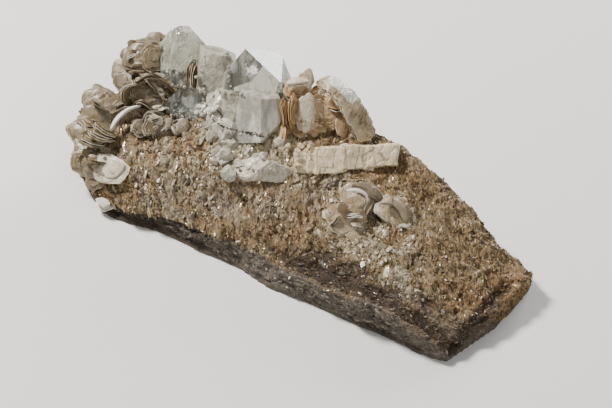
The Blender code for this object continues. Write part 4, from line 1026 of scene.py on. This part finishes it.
# %% Topaz
def clear(
    name, milk, veil, lines, etched=0.2, dim=(0.34, 0.335, 0.29), bright=(0.74, 0.73, 0.67),
    flash=None, density=300.0, hang=(1.0, 3.2, 1.6), painted_sparkle_share=0.3,
):
    """Topaz: clear, milky by milk, and soft white by veil where the veils hang. Growth lines run up its faces,
    lines mm deep, and etched is how deep its faces are pitted. flash is where a crack inside mirrors the light:
    right, up and radius, as seen from the best side."""
    net = Net(name)
    here = net.place()
    hanging = net.place(hang, SEEN_TURN)
    veils = net.step(net.noise(hanging, 2.2, 4.0, 0.55, 0.6), 0.4, 0.72)
    # painted sparkle: spots are white points that stand for light glinting off the faces
    spots = net.step(net.noise(here, 0.8, 4.0, 0.7, 0.4), 0.6, 0.68)
    flaws = net.step(net.noise(here, 3.2, 4.0, 0.65, 1.2), 0.6, 0.66) * 0.5
    growth = net.noise(net.place((0.3, 7.0, 1.0), SEEN_TURN), 0.8, 3.0, 0.6)
    normal = net.bump(growth, lines, 0.8)
    normal = net.bump(net.noise(here, 2.6, 4.0, 0.6), etched, 0.7, normal)
    glass = net.shader(
        Base_Color=(0.965, 0.97, 0.945), Roughness=0.04, IOR=1.62, Transmission_Weight=1.0, Normal=normal
    )
    tone = net.mix(net.step(growth, 0.4, 0.62) * 0.45 + veils * 0.55, dim, bright)
    tone = net.mix(flaws, tone, (0.16, 0.125, 0.075))
    tone = net.mix(spots * (painted_sparkle_share > 0), tone, (0.9, 0.9, 0.86))
    share = milk + veils * veil + spots * painted_sparkle_share + flaws * 0.5
    if flash:
        right, up, radius = flash
        centre = VIEW @ VIEW_CENTRE + (right, up, 0)
        place = net.place((1.0, 1.0, 1000.0), SEEN_TURN)
        settings = {"operation": "DISTANCE"}
        away = net.node("ShaderNodeVectorMath", settings, place, (*centre[:2], centre[2] / 1000), out=1)
        mirror = net.step(net.noise(here, 1.3, 4.0, 0.7, 0.8) * 2.4 - away * (0.45 / radius), 0.85, 0.95)
        tone = net.mix(mirror, tone, (0.93, 0.93, 0.9))
        share = share + mirror * 0.9
    white = net.shader(Base_Color=tone, Roughness=0.32, IOR=1.62, Normal=normal)
    both = net.node("ShaderNodeMixShader", None, net.node("ShaderNodeClamp", None, share), glass, white)
    volume = net.node("ShaderNodeVolumeAbsorption", None, Color=(0.86, 0.862, 0.83, 1.0), Density=density)
    return net.done(both, volume)


def worn(node, width, finish, name):
    """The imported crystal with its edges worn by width, standing for the node."""
    work = NODES[node].copy()
    work.data = NODES[node].data.copy()
    bpy.context.scene.collection.objects.link(work)
    weld = work.modifiers.new("weld", "WELD")
    weld.merge_threshold = 1e-6
    bevel = work.modifiers.new("wear", "BEVEL")
    bevel.width = width * 0.001
    bevel.segments = 2
    bevel.limit_method = "ANGLE"
    bevel.angle_limit = math.radians(12)
    work.modifiers.new("triangles", "TRIANGULATE")
    bpy.context.view_layer.update()
    made = bpy.data.meshes.new_from_object(work.evaluated_get(bpy.context.evaluated_depsgraph_get()))
    made.name = name
    made.materials.clear()
    made.materials.append(finish)
    used = work.data
    bpy.data.objects.remove(work)
    bpy.data.meshes.remove(used)
    obj = bpy.data.objects.new(name, made)
    bpy.context.scene.collection.objects.link(obj)
    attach(obj, "root")
    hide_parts(node)
    print(f"{name}: {len(made.polygons)} triangles")
    return obj


LARGE = clear(
    "topaz_clear", 0.2, 0.34, 0.02, 0.04, (0.4, 0.395, 0.34), (0.74, 0.73, 0.67), flash=(-15.4, 38.0, 1.7), painted_sparkle_share=0.0
)
FRONT = clear("topaz_striated", 0.4, 0.45, 0.04, 0.3, (0.55, 0.53, 0.46), (0.72, 0.7, 0.62), painted_sparkle_share=0.1)
SMALL = clear("topaz_lens", 0.1, 0.35, 0.12, 0.3, (0.16, 0.17, 0.16), (0.6, 0.62, 0.58), flash=(-30.0, 27.5, 1.0))
PEAK = clear(
    "topaz_veiled", 0.14, 0.46, 0.01, 0.05, (0.28, 0.27, 0.22), (0.76, 0.74, 0.66), density=650.0,
    hang=(0.9, 1.8, 1.1), painted_sparkle_share=0.12,
)
worn("topaz_large", 0.1, LARGE, "topaz_large_clear")
worn("topaz_front", 0.12, FRONT, "topaz_front_clear")
worn("topaz_small", 0.15, SMALL, "topaz_small_clear")


# %% [markdown]
# ## Quartz, albite and the dark grain
#
# The quartz is grey-white and cloudy, like wet ice, with rounded broken faces. The albite is cream and
# breaks along flat cleavages with fine steps. The dark grain in the nest over the small rosette is nearly
# black, with a dull shine.


# %% Pale minerals
def cloudy(name, colour, white, clearness, rough):
    """Cloudy quartz: part of it passes light, and the frosted part is white where the noise is high."""
    net = Net(name)
    here = net.place()
    grain = net.cells(net.place((0.8, 1.6, 1.0), SEEN_TURN), 1.1, out=1)
    cloud = net.step(net.noise(here, 2.0, 5.0, 0.65), 0.36, 0.66)
    base = net.mix(cloud * 0.6 + grain * 0.4, colour, white)
    stain = net.step(net.noise(here, 1.6, 5.0, 0.7, 1.0), 0.6, 0.7)
    base = net.mix(stain * 0.6, base, (0.26, 0.17, 0.085))
    normal = net.bump(net.noise(here, 0.9, 5.0, 0.65), 0.3, 0.8)
    normal = net.bump(grain, 0.1, 0.5, normal)
    glass = net.shader(Base_Color=colour, Roughness=rough, IOR=1.54, Transmission_Weight=1.0, Normal=normal)
    solid = net.shader(Base_Color=base, Roughness=0.4, Coat_Weight=0.3, Normal=normal)
    return net.done(net.node("ShaderNodeMixShader", None, 1.0 - clearness * (1.0 - cloud * 0.6), glass, solid))


def stone(name, light, dark, vein, shine):
    """A stone that cleaves into small blocks, with dark cracks between some of them."""
    net = Net(name)
    here = net.place()
    block = net.place((1.0, 2.4, 1.0), SEEN_TURN)
    tone = net.noise(here, 1.8, 5.0, 0.65)
    colour = net.mix(net.step(tone, 0.35, 0.65), dark, light)
    colour = net.mix(net.cells(block, 1.0, out=1) * 0.4, colour, dark)
    settings = {"feature": "DISTANCE_TO_EDGE"}
    edge = net.node("ShaderNodeTexVoronoi", settings, Vector=block, Scale=1 / 2.6, Randomness=0.9)
    crack = net.step(edge, 0.05, 0.0) * net.step(net.noise(here, 3.5, 3.0), 0.46, 0.6)
    colour = net.mix(crack * 0.75, colour, vein)
    normal = net.bump(net.noise(net.place((0.7, 2.4, 1.0), SEEN_TURN), 0.6, 4.0, 0.7), 0.14, 0.9)
    normal = net.bump(crack, -0.15, 0.7, normal)
    rough = 0.55 - net.step(tone, 0.5, 0.75) * 0.25
    return net.done(net.shader(Base_Color=colour, Roughness=rough, Coat_Weight=shine, Normal=normal))


def broken(node, cell, rounds, depth, grain, finish, name, seed, stretch=(1.0, 0.7, 1.0), seam=0.6, cuts=()):
    """An even copy of a node, roughened depth mm deep by noise and by grains of that size. Each cut is a flat
    break: the way it looks as seen from the best side, and how far below the outermost point it lies. What is
    beyond it is pressed back onto it: point - looks * max(0, point . looks - level)."""
    points, normals, faces = even_copy(node, cell, rounds)
    for *looks, below in cuts:
        looks = unit(np.array(looks) @ VIEW)
        over = points @ looks - (points @ looks).max() + below
        points = points - looks * np.maximum(over, 0)[:, None]
    seen = (points - VIEW_CENTRE) @ VIEW.T * stretch
    near, second, value = grains(seen, grain, seed)
    small = grains(seen, grain * 0.45, seed + 1)[2]
    push = depth * (fractal(points, grain * 1.6, seed + 3) + 1.7 * (value - 0.5) + 0.8 * (small - 0.5))
    push -= seam * depth * smooth_step(0.12 - (second - near), 0.0, 0.12)
    return piece(name, points + normals * push[:, None], faces, finish, stands_for=(node,))


GREY_QUARTZ = cloudy("quartz_grey", (0.37, 0.345, 0.275), (0.6, 0.565, 0.465), 0.45, 0.15)
WHITE_QUARTZ = cloudy("quartz_white", (0.34, 0.305, 0.23), (0.68, 0.635, 0.52), 0.35, 0.22)
BEIGE_QUARTZ = cloudy("quartz_beige", (0.44, 0.385, 0.28), (0.71, 0.64, 0.51), 0.25, 0.25)
BLUE_QUARTZ = cloudy("quartz_bluish", (0.45, 0.425, 0.355), (0.72, 0.68, 0.58), 0.3, 0.15)
ALBITE = stone("albite_cream", (0.74, 0.63, 0.42), (0.5, 0.4, 0.25), (0.15, 0.085, 0.035), 0.2)
DARK = stone("dark_grain", (0.09, 0.06, 0.042), (0.03, 0.02, 0.015), (0.2, 0.15, 0.1), 0.4)
PEAK_CUTS = [
    (-0.8, 0.6, 0.0, 1.0), (0.75, 0.66, 0.0, 1.2), (-0.5, 0.3, 0.8, 1.0),
    (0.45, 0.25, 0.86, 1.1), (0.05, 0.7, 0.7, 0.7), (0.1, -0.5, 0.86, 0.8),
]
PALE_CUTS = [(0.3, 0.8, 0.5, 0.9), (-0.4, 0.1, 0.9, 0.8), (0.5, -0.15, 0.86, 0.8), (0.9, 0.3, 0.3, 0.6)]
FRONT_CUTS = [(-0.3, 0.4, 0.87, 0.8), (0.3, -0.3, 0.9, 0.7), (-0.7, 0.1, 0.6, 0.7), (-0.3, -0.7, 0.6, 0.6)]
broken("topaz_peak", 0.3, 0, 0.2, 5.4, PEAK, "topaz_peak_clear", 200, seam=0.0, cuts=PEAK_CUTS)
broken("quartz_pale", 0.3, 0, 0.16, 4.6, GREY_QUARTZ, "quartz_pale_mass", 201, seam=0.2, cuts=PALE_CUTS)
broken("quartz_front", 0.26, 0, 0.14, 2.6, WHITE_QUARTZ, "quartz_front_mass", 202, seam=0.3, cuts=FRONT_CUTS)
broken("quartz_knob", 0.25, 2, 0.16, 2.6, BLUE_QUARTZ, "quartz_knob_mass", 203, seam=0.3, cuts=PALE_CUTS[1:3])
broken("quartz_lens", 0.25, 2, 0.16, 2.4, BEIGE_QUARTZ, "quartz_lens_mass", 204, seam=0.3, cuts=FRONT_CUTS[:2])
broken("quartz_pebble", 0.2, 3, 0.14, 1.8, BLUE_QUARTZ, "quartz_pebble_mass", 205)
broken("quartz_bead", 0.2, 3, 0.14, 1.8, BLUE_QUARTZ, "quartz_bead_mass", 206)
broken("albite_bar", 0.28, 1, 0.22, 2.6, ALBITE, "albite_bar_mass", 207, (1.0, 0.5, 1.0))
broken("dark_crystal", 0.18, 0, 0.12, 1.0, DARK, "dark_crystal_grain", 208)

# %% [markdown]
# ## Druse in the seams
#
# The crystals are grown together: where two of them meet, small rough lumps of quartz fill the seam. Each
# seam is a line as seen from the best side. Rays along the view find where it lies on the crystals, and a
# lump is set there: a ball of rings, made uneven by noise and pressed into the seam.

# %% Druse
SEAMS = [
    [(-29.0, 41.0), (-29.5, 35.0), (-28.5, 31.0)],
    [(-22.0, 42.0), (-21.5, 36.0), (-21.0, 31.0)],
    [(-38.5, 33.0), (-33.0, 32.5), (-28.0, 31.0), (-22.0, 31.0), (-16.0, 30.5)],
    [(-28.5, 30.0), (-28.0, 25.0), (-26.0, 21.0)],
    [(-27.0, 21.5), (-21.0, 20.0), (-14.0, 20.0), (-8.5, 19.0), (-5.0, 15.0)],
    [(-38.0, 25.0), (-33.0, 24.0), (-29.0, 22.5)],
    [(-24.0, 13.0), (-16.0, 9.5), (-8.0, 9.0)],
]


def lumps_at(rng, middles, sizes):
    """Uneven balls: middle + size * (1 + noise) * (sin(up) cos(turn), cos(up), sin(up) sin(turn))."""
    rows, steps = 4, 7
    up = np.pi * (np.arange(rows) + 0.5) / rows
    turn = 2 * np.pi * np.arange(steps) / steps
    ring = np.stack([np.outer(np.sin(up), np.cos(turn)), np.outer(np.cos(up), 1 + 0 * turn), np.outer(np.sin(up), np.sin(turn))], -1)
    ball = np.concatenate([[[0, 1, 0], [0, -1, 0]], ring.reshape(-1, 3)])
    shape = ball[None] * rng.uniform(0.7, 1.3, (len(middles), 1, 3))
    place = middles[:, None] + shape * sizes[:, None, None]
    swell = fractal(place.reshape(-1, 3), 1.6, 301, 3).reshape(place.shape[:2])
    place = middles[:, None] + shape * (sizes[:, None] * (1 + 0.45 * swell))[..., None]
    return skins(place[:, :2], place[:, 2:].reshape(-1, rows, steps, 3))


def along_lines(lines, apart):
    """Places on the stone under points about apart along the lines, found by rays from the eye."""
    graph = bpy.context.evaluated_depsgraph_get()
    eye = (VIEW_CENTRE + TOWARDS * EYE_DISTANCE) * 0.001
    found = []
    for line in lines:
        line = np.array(line)
        far = np.append(0, np.cumsum(np.linalg.norm(np.diff(line, axis=0), axis=1)))
        for at in np.arange(0, far[-1], apart):
            right, up = (np.interp(at, far, line[:, k]) for k in range(2))
            aim = unit(seen_at(right, up, 0) * 0.001 - eye)
            hit, place, normal, *_ = bpy.context.scene.ray_cast(graph, Vector(eye), Vector(aim))
            found.append((*place, *normal) if hit else (0.0,) * 6)
    found = np.array(found)
    found = found[np.linalg.norm(found, axis=1) > 0]
    return found[:, :3] * 1000, found[:, 3:]


# The brown crack under the front crystal, and the snow-white lump beside it.
CRACK = [
    [(-26.0, 23.4), (-22.4, 21.4), (-18.2, 20.2), (-15.0, 19.8), (-12.0, 18.6)],
    [(-25.0, 26.4), (-23.4, 24.6), (-23.8, 22.6)],
]
SNOW = [[(-30.4, 27.0), (-27.5, 27.4), (-24.8, 26.4)], [(-30.2, 25.6), (-27.6, 25.6), (-25.8, 24.8)]]
# Blunt blocks of quartz below the crack, sunk in the rock.
BLOCKS = [
    [(-26.5, 18.5), (-22.0, 17.0), (-15.0, 16.5)], [(-25.0, 15.0), (-19.0, 14.5), (-12.0, 14.0)],
    [(-17.0, 12.5), (-11.0, 12.0)], [(-9.0, 16.5), (-5.5, 14.0)],
]
# The grainy mass that the cream bar fades into at its left end.
CRUMBLED = [
    [(-7.5, 15.2), (-3.5, 16.0), (0.8, 16.2)], [(-6.5, 13.6), (-3.0, 14.2), (0.6, 14.4)],
    [(-5.0, 12.2), (-0.4, 12.4)], [(-4.2, 10.4), (-1.6, 10.6)],
]
SNOW_QUARTZ = cloudy("quartz_snow", (0.7, 0.67, 0.58), (0.88, 0.86, 0.8), 0.05, 0.35)


def druse(name, rng, lines, apart, sizes, stray, finish, sink=0.35):
    """Lumps about apart along the lines, of the given sizes, strayed from them and sunk by that share of their
    size."""
    at, looks = along_lines(lines, apart)
    size = rng.uniform(*sizes, len(at))
    at = at - looks * sink * size[:, None] + rng.normal(scale=stray, size=at.shape)
    piece(name, *lumps_at(rng, at, size), finish, smooth=False)


rng = np.random.default_rng(12)
druse("quartz_druse", rng, SEAMS, 0.7, (0.25, 0.65), 0.4, GREY_QUARTZ)
druse("iron_crack", rng, CRACK, 0.28, (0.16, 0.34), 0.12, DARK)
druse("quartz_snow", rng, SNOW, 0.3, (0.35, 0.75), 0.45, SNOW_QUARTZ)
druse("quartz_blocks", rng, BLOCKS, 2.0, (1.5, 2.8), 0.5, WHITE_QUARTZ, 0.75)
druse("albite_crumbs", rng, CRUMBLED, 0.3, (0.3, 0.8), 0.5, ALBITE)

# %% [markdown]
# ## Loose grains of quartz
#
# Where the rock is pale it is full of quartz: blunt grains of one to two millimetres, most of them half
# buried. They are the same lenses as the flakes, but nearly as thick as they are wide.

# %% Quartz grains
rng = np.random.default_rng(9)


def pale_there(middle, normal):
    return shown(middle, normal) * patches(middle, PALE, 72) ** 2 * (off_line(middle, GROOVE) > 2.4)


def crumbly():
    net = Net("quartz_crumbs")
    shade = net.mark("shade")
    colour = net.mix(shade, (0.17, 0.125, 0.068), (0.47, 0.4, 0.28))
    colour = net.mix(net.step(shade, 0.95, 0.98), colour, (0.7, 0.66, 0.56))
    normal = net.bump(net.noise(net.place(), 0.5, 4.0, 0.65), 0.12, 0.8)
    rough = 0.5 - net.step(shade, 0.6, 0.95) * 0.25
    return net.done(net.shader(Base_Color=colour, Roughness=rough, Coat_Weight=shade * 0.4, Normal=normal))


at, skin_normal = scatter(rng, 4200, pale_there)
looks = unit(skin_normal + rng.normal(scale=0.6, size=at.shape))
radius = np.clip(rng.lognormal(math.log(0.46), 0.4, len(at)), 0.25, 1.5)
thick = radius * rng.uniform(0.9, 1.4, len(at))
quartz_points, quartz_faces = lenses(rng, at - skin_normal * 0.1, looks, radius, thick, 7)
whiter = 0.4 * patches(at, PALE[:2], 72)
quartz_marks = {"shade": np.repeat(whiter + (1 - whiter) * rng.uniform(0, 1, len(at)), 9)}
piece("quartz_grains", quartz_points, quartz_faces, crumbly(), quartz_marks, smooth=False)

# Painted highlights: bright flakes that catch the eye on the rock, as seen from the best side: right, up and radius.
GLINTS = [
    (28.8, -8.7, 0.9), (14.6, -16.2, 1.1), (27.0, -3.6, 0.8), (25.8, -6.2, 0.7), (-42.0, 6.5, 0.8),
    (-41.2, 4.6, 0.6), (-39.5, 18.5, 0.8), (0.0, 11.5, 0.7), (-24.0, 14.0, 0.6), (10.0, -6.0, 0.5),
    (-33.0, 8.0, 0.5), (-16.0, -3.0, 0.4), (38.0, -14.0, 0.45), (46.0, -10.0, 0.4), (21.0, -15.0, 0.5),
    (-5.0, -20.0, 0.45), (33.0, 14.5, 0.6), (-48.0, 5.0, 0.6), (5.0, 2.0, 0.5), (41.0, -25.0, 0.45),
]
glint_list = np.array(GLINTS)
rock_seen = (rock_points - VIEW_CENTRE) @ VIEW.T
off = np.hypot(rock_seen[None, :, 0] - glint_list[:, :1], rock_seen[None, :, 1] - glint_list[:, 1:2])
nearest = np.argmax(np.where(off < 0.6, rock_seen[None, :, 2], -99.0), axis=1)
glint_at = rock_points[nearest] + TOWARDS * 0.25
glint_looks = unit(TOWARDS + rng.normal(scale=0.3, size=glint_at.shape) + (-0.35, 0.1, 0.35))
glint_size = glint_list[:, 2] * 0.7
glint_points, glint_faces = lenses(rng, glint_at, glint_looks, glint_size, glint_size * 0.2, 7, 0.5, 1.3)
glint_marks = {"rim": np.zeros(len(glint_points)), "depth": np.zeros(len(glint_points))}
glint_marks["shade"] = np.repeat(rng.uniform(0.2, 0.8, len(glint_at)), 9)
piece("mica_glints", glint_points, glint_faces, MICA_HIGHLIGHT, glint_marks, smooth=False)

# %% [markdown]
# ## Floor, light and camera
#
# The stone lies on a plain pale floor in a bright room, under one large soft lamp from the upper left. A
# low one behind it makes the top facet of the large topaz flash, and a weak one on the right fills in. The camera stands at the photo's angle, 40 degrees above the floor.


# %% Studio
def paint(name, colour):
    net = Net(name)
    tone = net.noise(net.place(), 60.0, 3.0)
    soft = net.mix(net.step(tone, 0.3, 0.7) * 0.04, colour, (0.7, 0.69, 0.67))
    return net.done(net.shader(Base_Color=soft, Roughness=0.75))


def lamp(name, place, aim, size, power, colour=(1.0, 1.0, 1.0)):
    data = bpy.data.lights.new(name, "AREA")
    data.shape, data.size, data.energy, data.color = "DISK", size, power, colour
    obj = bpy.data.objects.new(name, data)
    bpy.context.scene.collection.objects.link(obj)
    obj.location = place
    obj.rotation_euler = (Vector(aim) - Vector(place)).to_track_quat("-Z", "Y").to_euler()


floor = bpy.data.meshes.new("floor")
floor.from_pydata([(-3, -3, 0), (3, -3, 0), (3, 3, 0), (-3, 3, 0)], [], [(0, 1, 2, 3)])
floor.materials.append(paint("pale_floor", (0.78, 0.77, 0.75)))
floor = bpy.data.objects.new("floor", floor)
bpy.context.scene.collection.objects.link(floor)

world = bpy.data.worlds.new("room")
world.use_nodes = True
world.node_tree.nodes["Background"].inputs["Color"].default_value = (1.0, 0.985, 0.96, 1.0)
world.node_tree.nodes["Background"].inputs["Strength"].default_value = 0.19
bpy.context.scene.world = world
lamp("key", (-0.45, -0.05, 0.57), (0.0, 0.0, 0.01), 0.17, 11.0, (1.0, 0.96, 0.9))
lamp("back", (0.03, 0.62, 0.2), (0.0, 0.01, 0.02), 0.3, 4.0)
lamp("side", (0.55, -0.25, 0.4), (0.0, 0.0, 0.01), 0.4, 1.6)

camera = bpy.data.objects.new("camera", bpy.data.cameras.new("camera"))
bpy.context.scene.collection.objects.link(camera)
camera.data.lens, camera.data.sensor_width = 100.0, 36.0
camera.data.clip_start = 0.01
target = np.array([60.90669218, 22.86373184, 12.0]) - DRAWING_MIDDLE
gaze = -TOWARDS
camera.location = Vector((target + TOWARDS * EYE_DISTANCE) * 0.001)
camera.rotation_euler = Vector(gaze).to_track_quat("-Z", "Y").to_euler()
bpy.context.scene.camera = camera

# %% [markdown]
# ## The end

# %% The end
print("the scene is built")
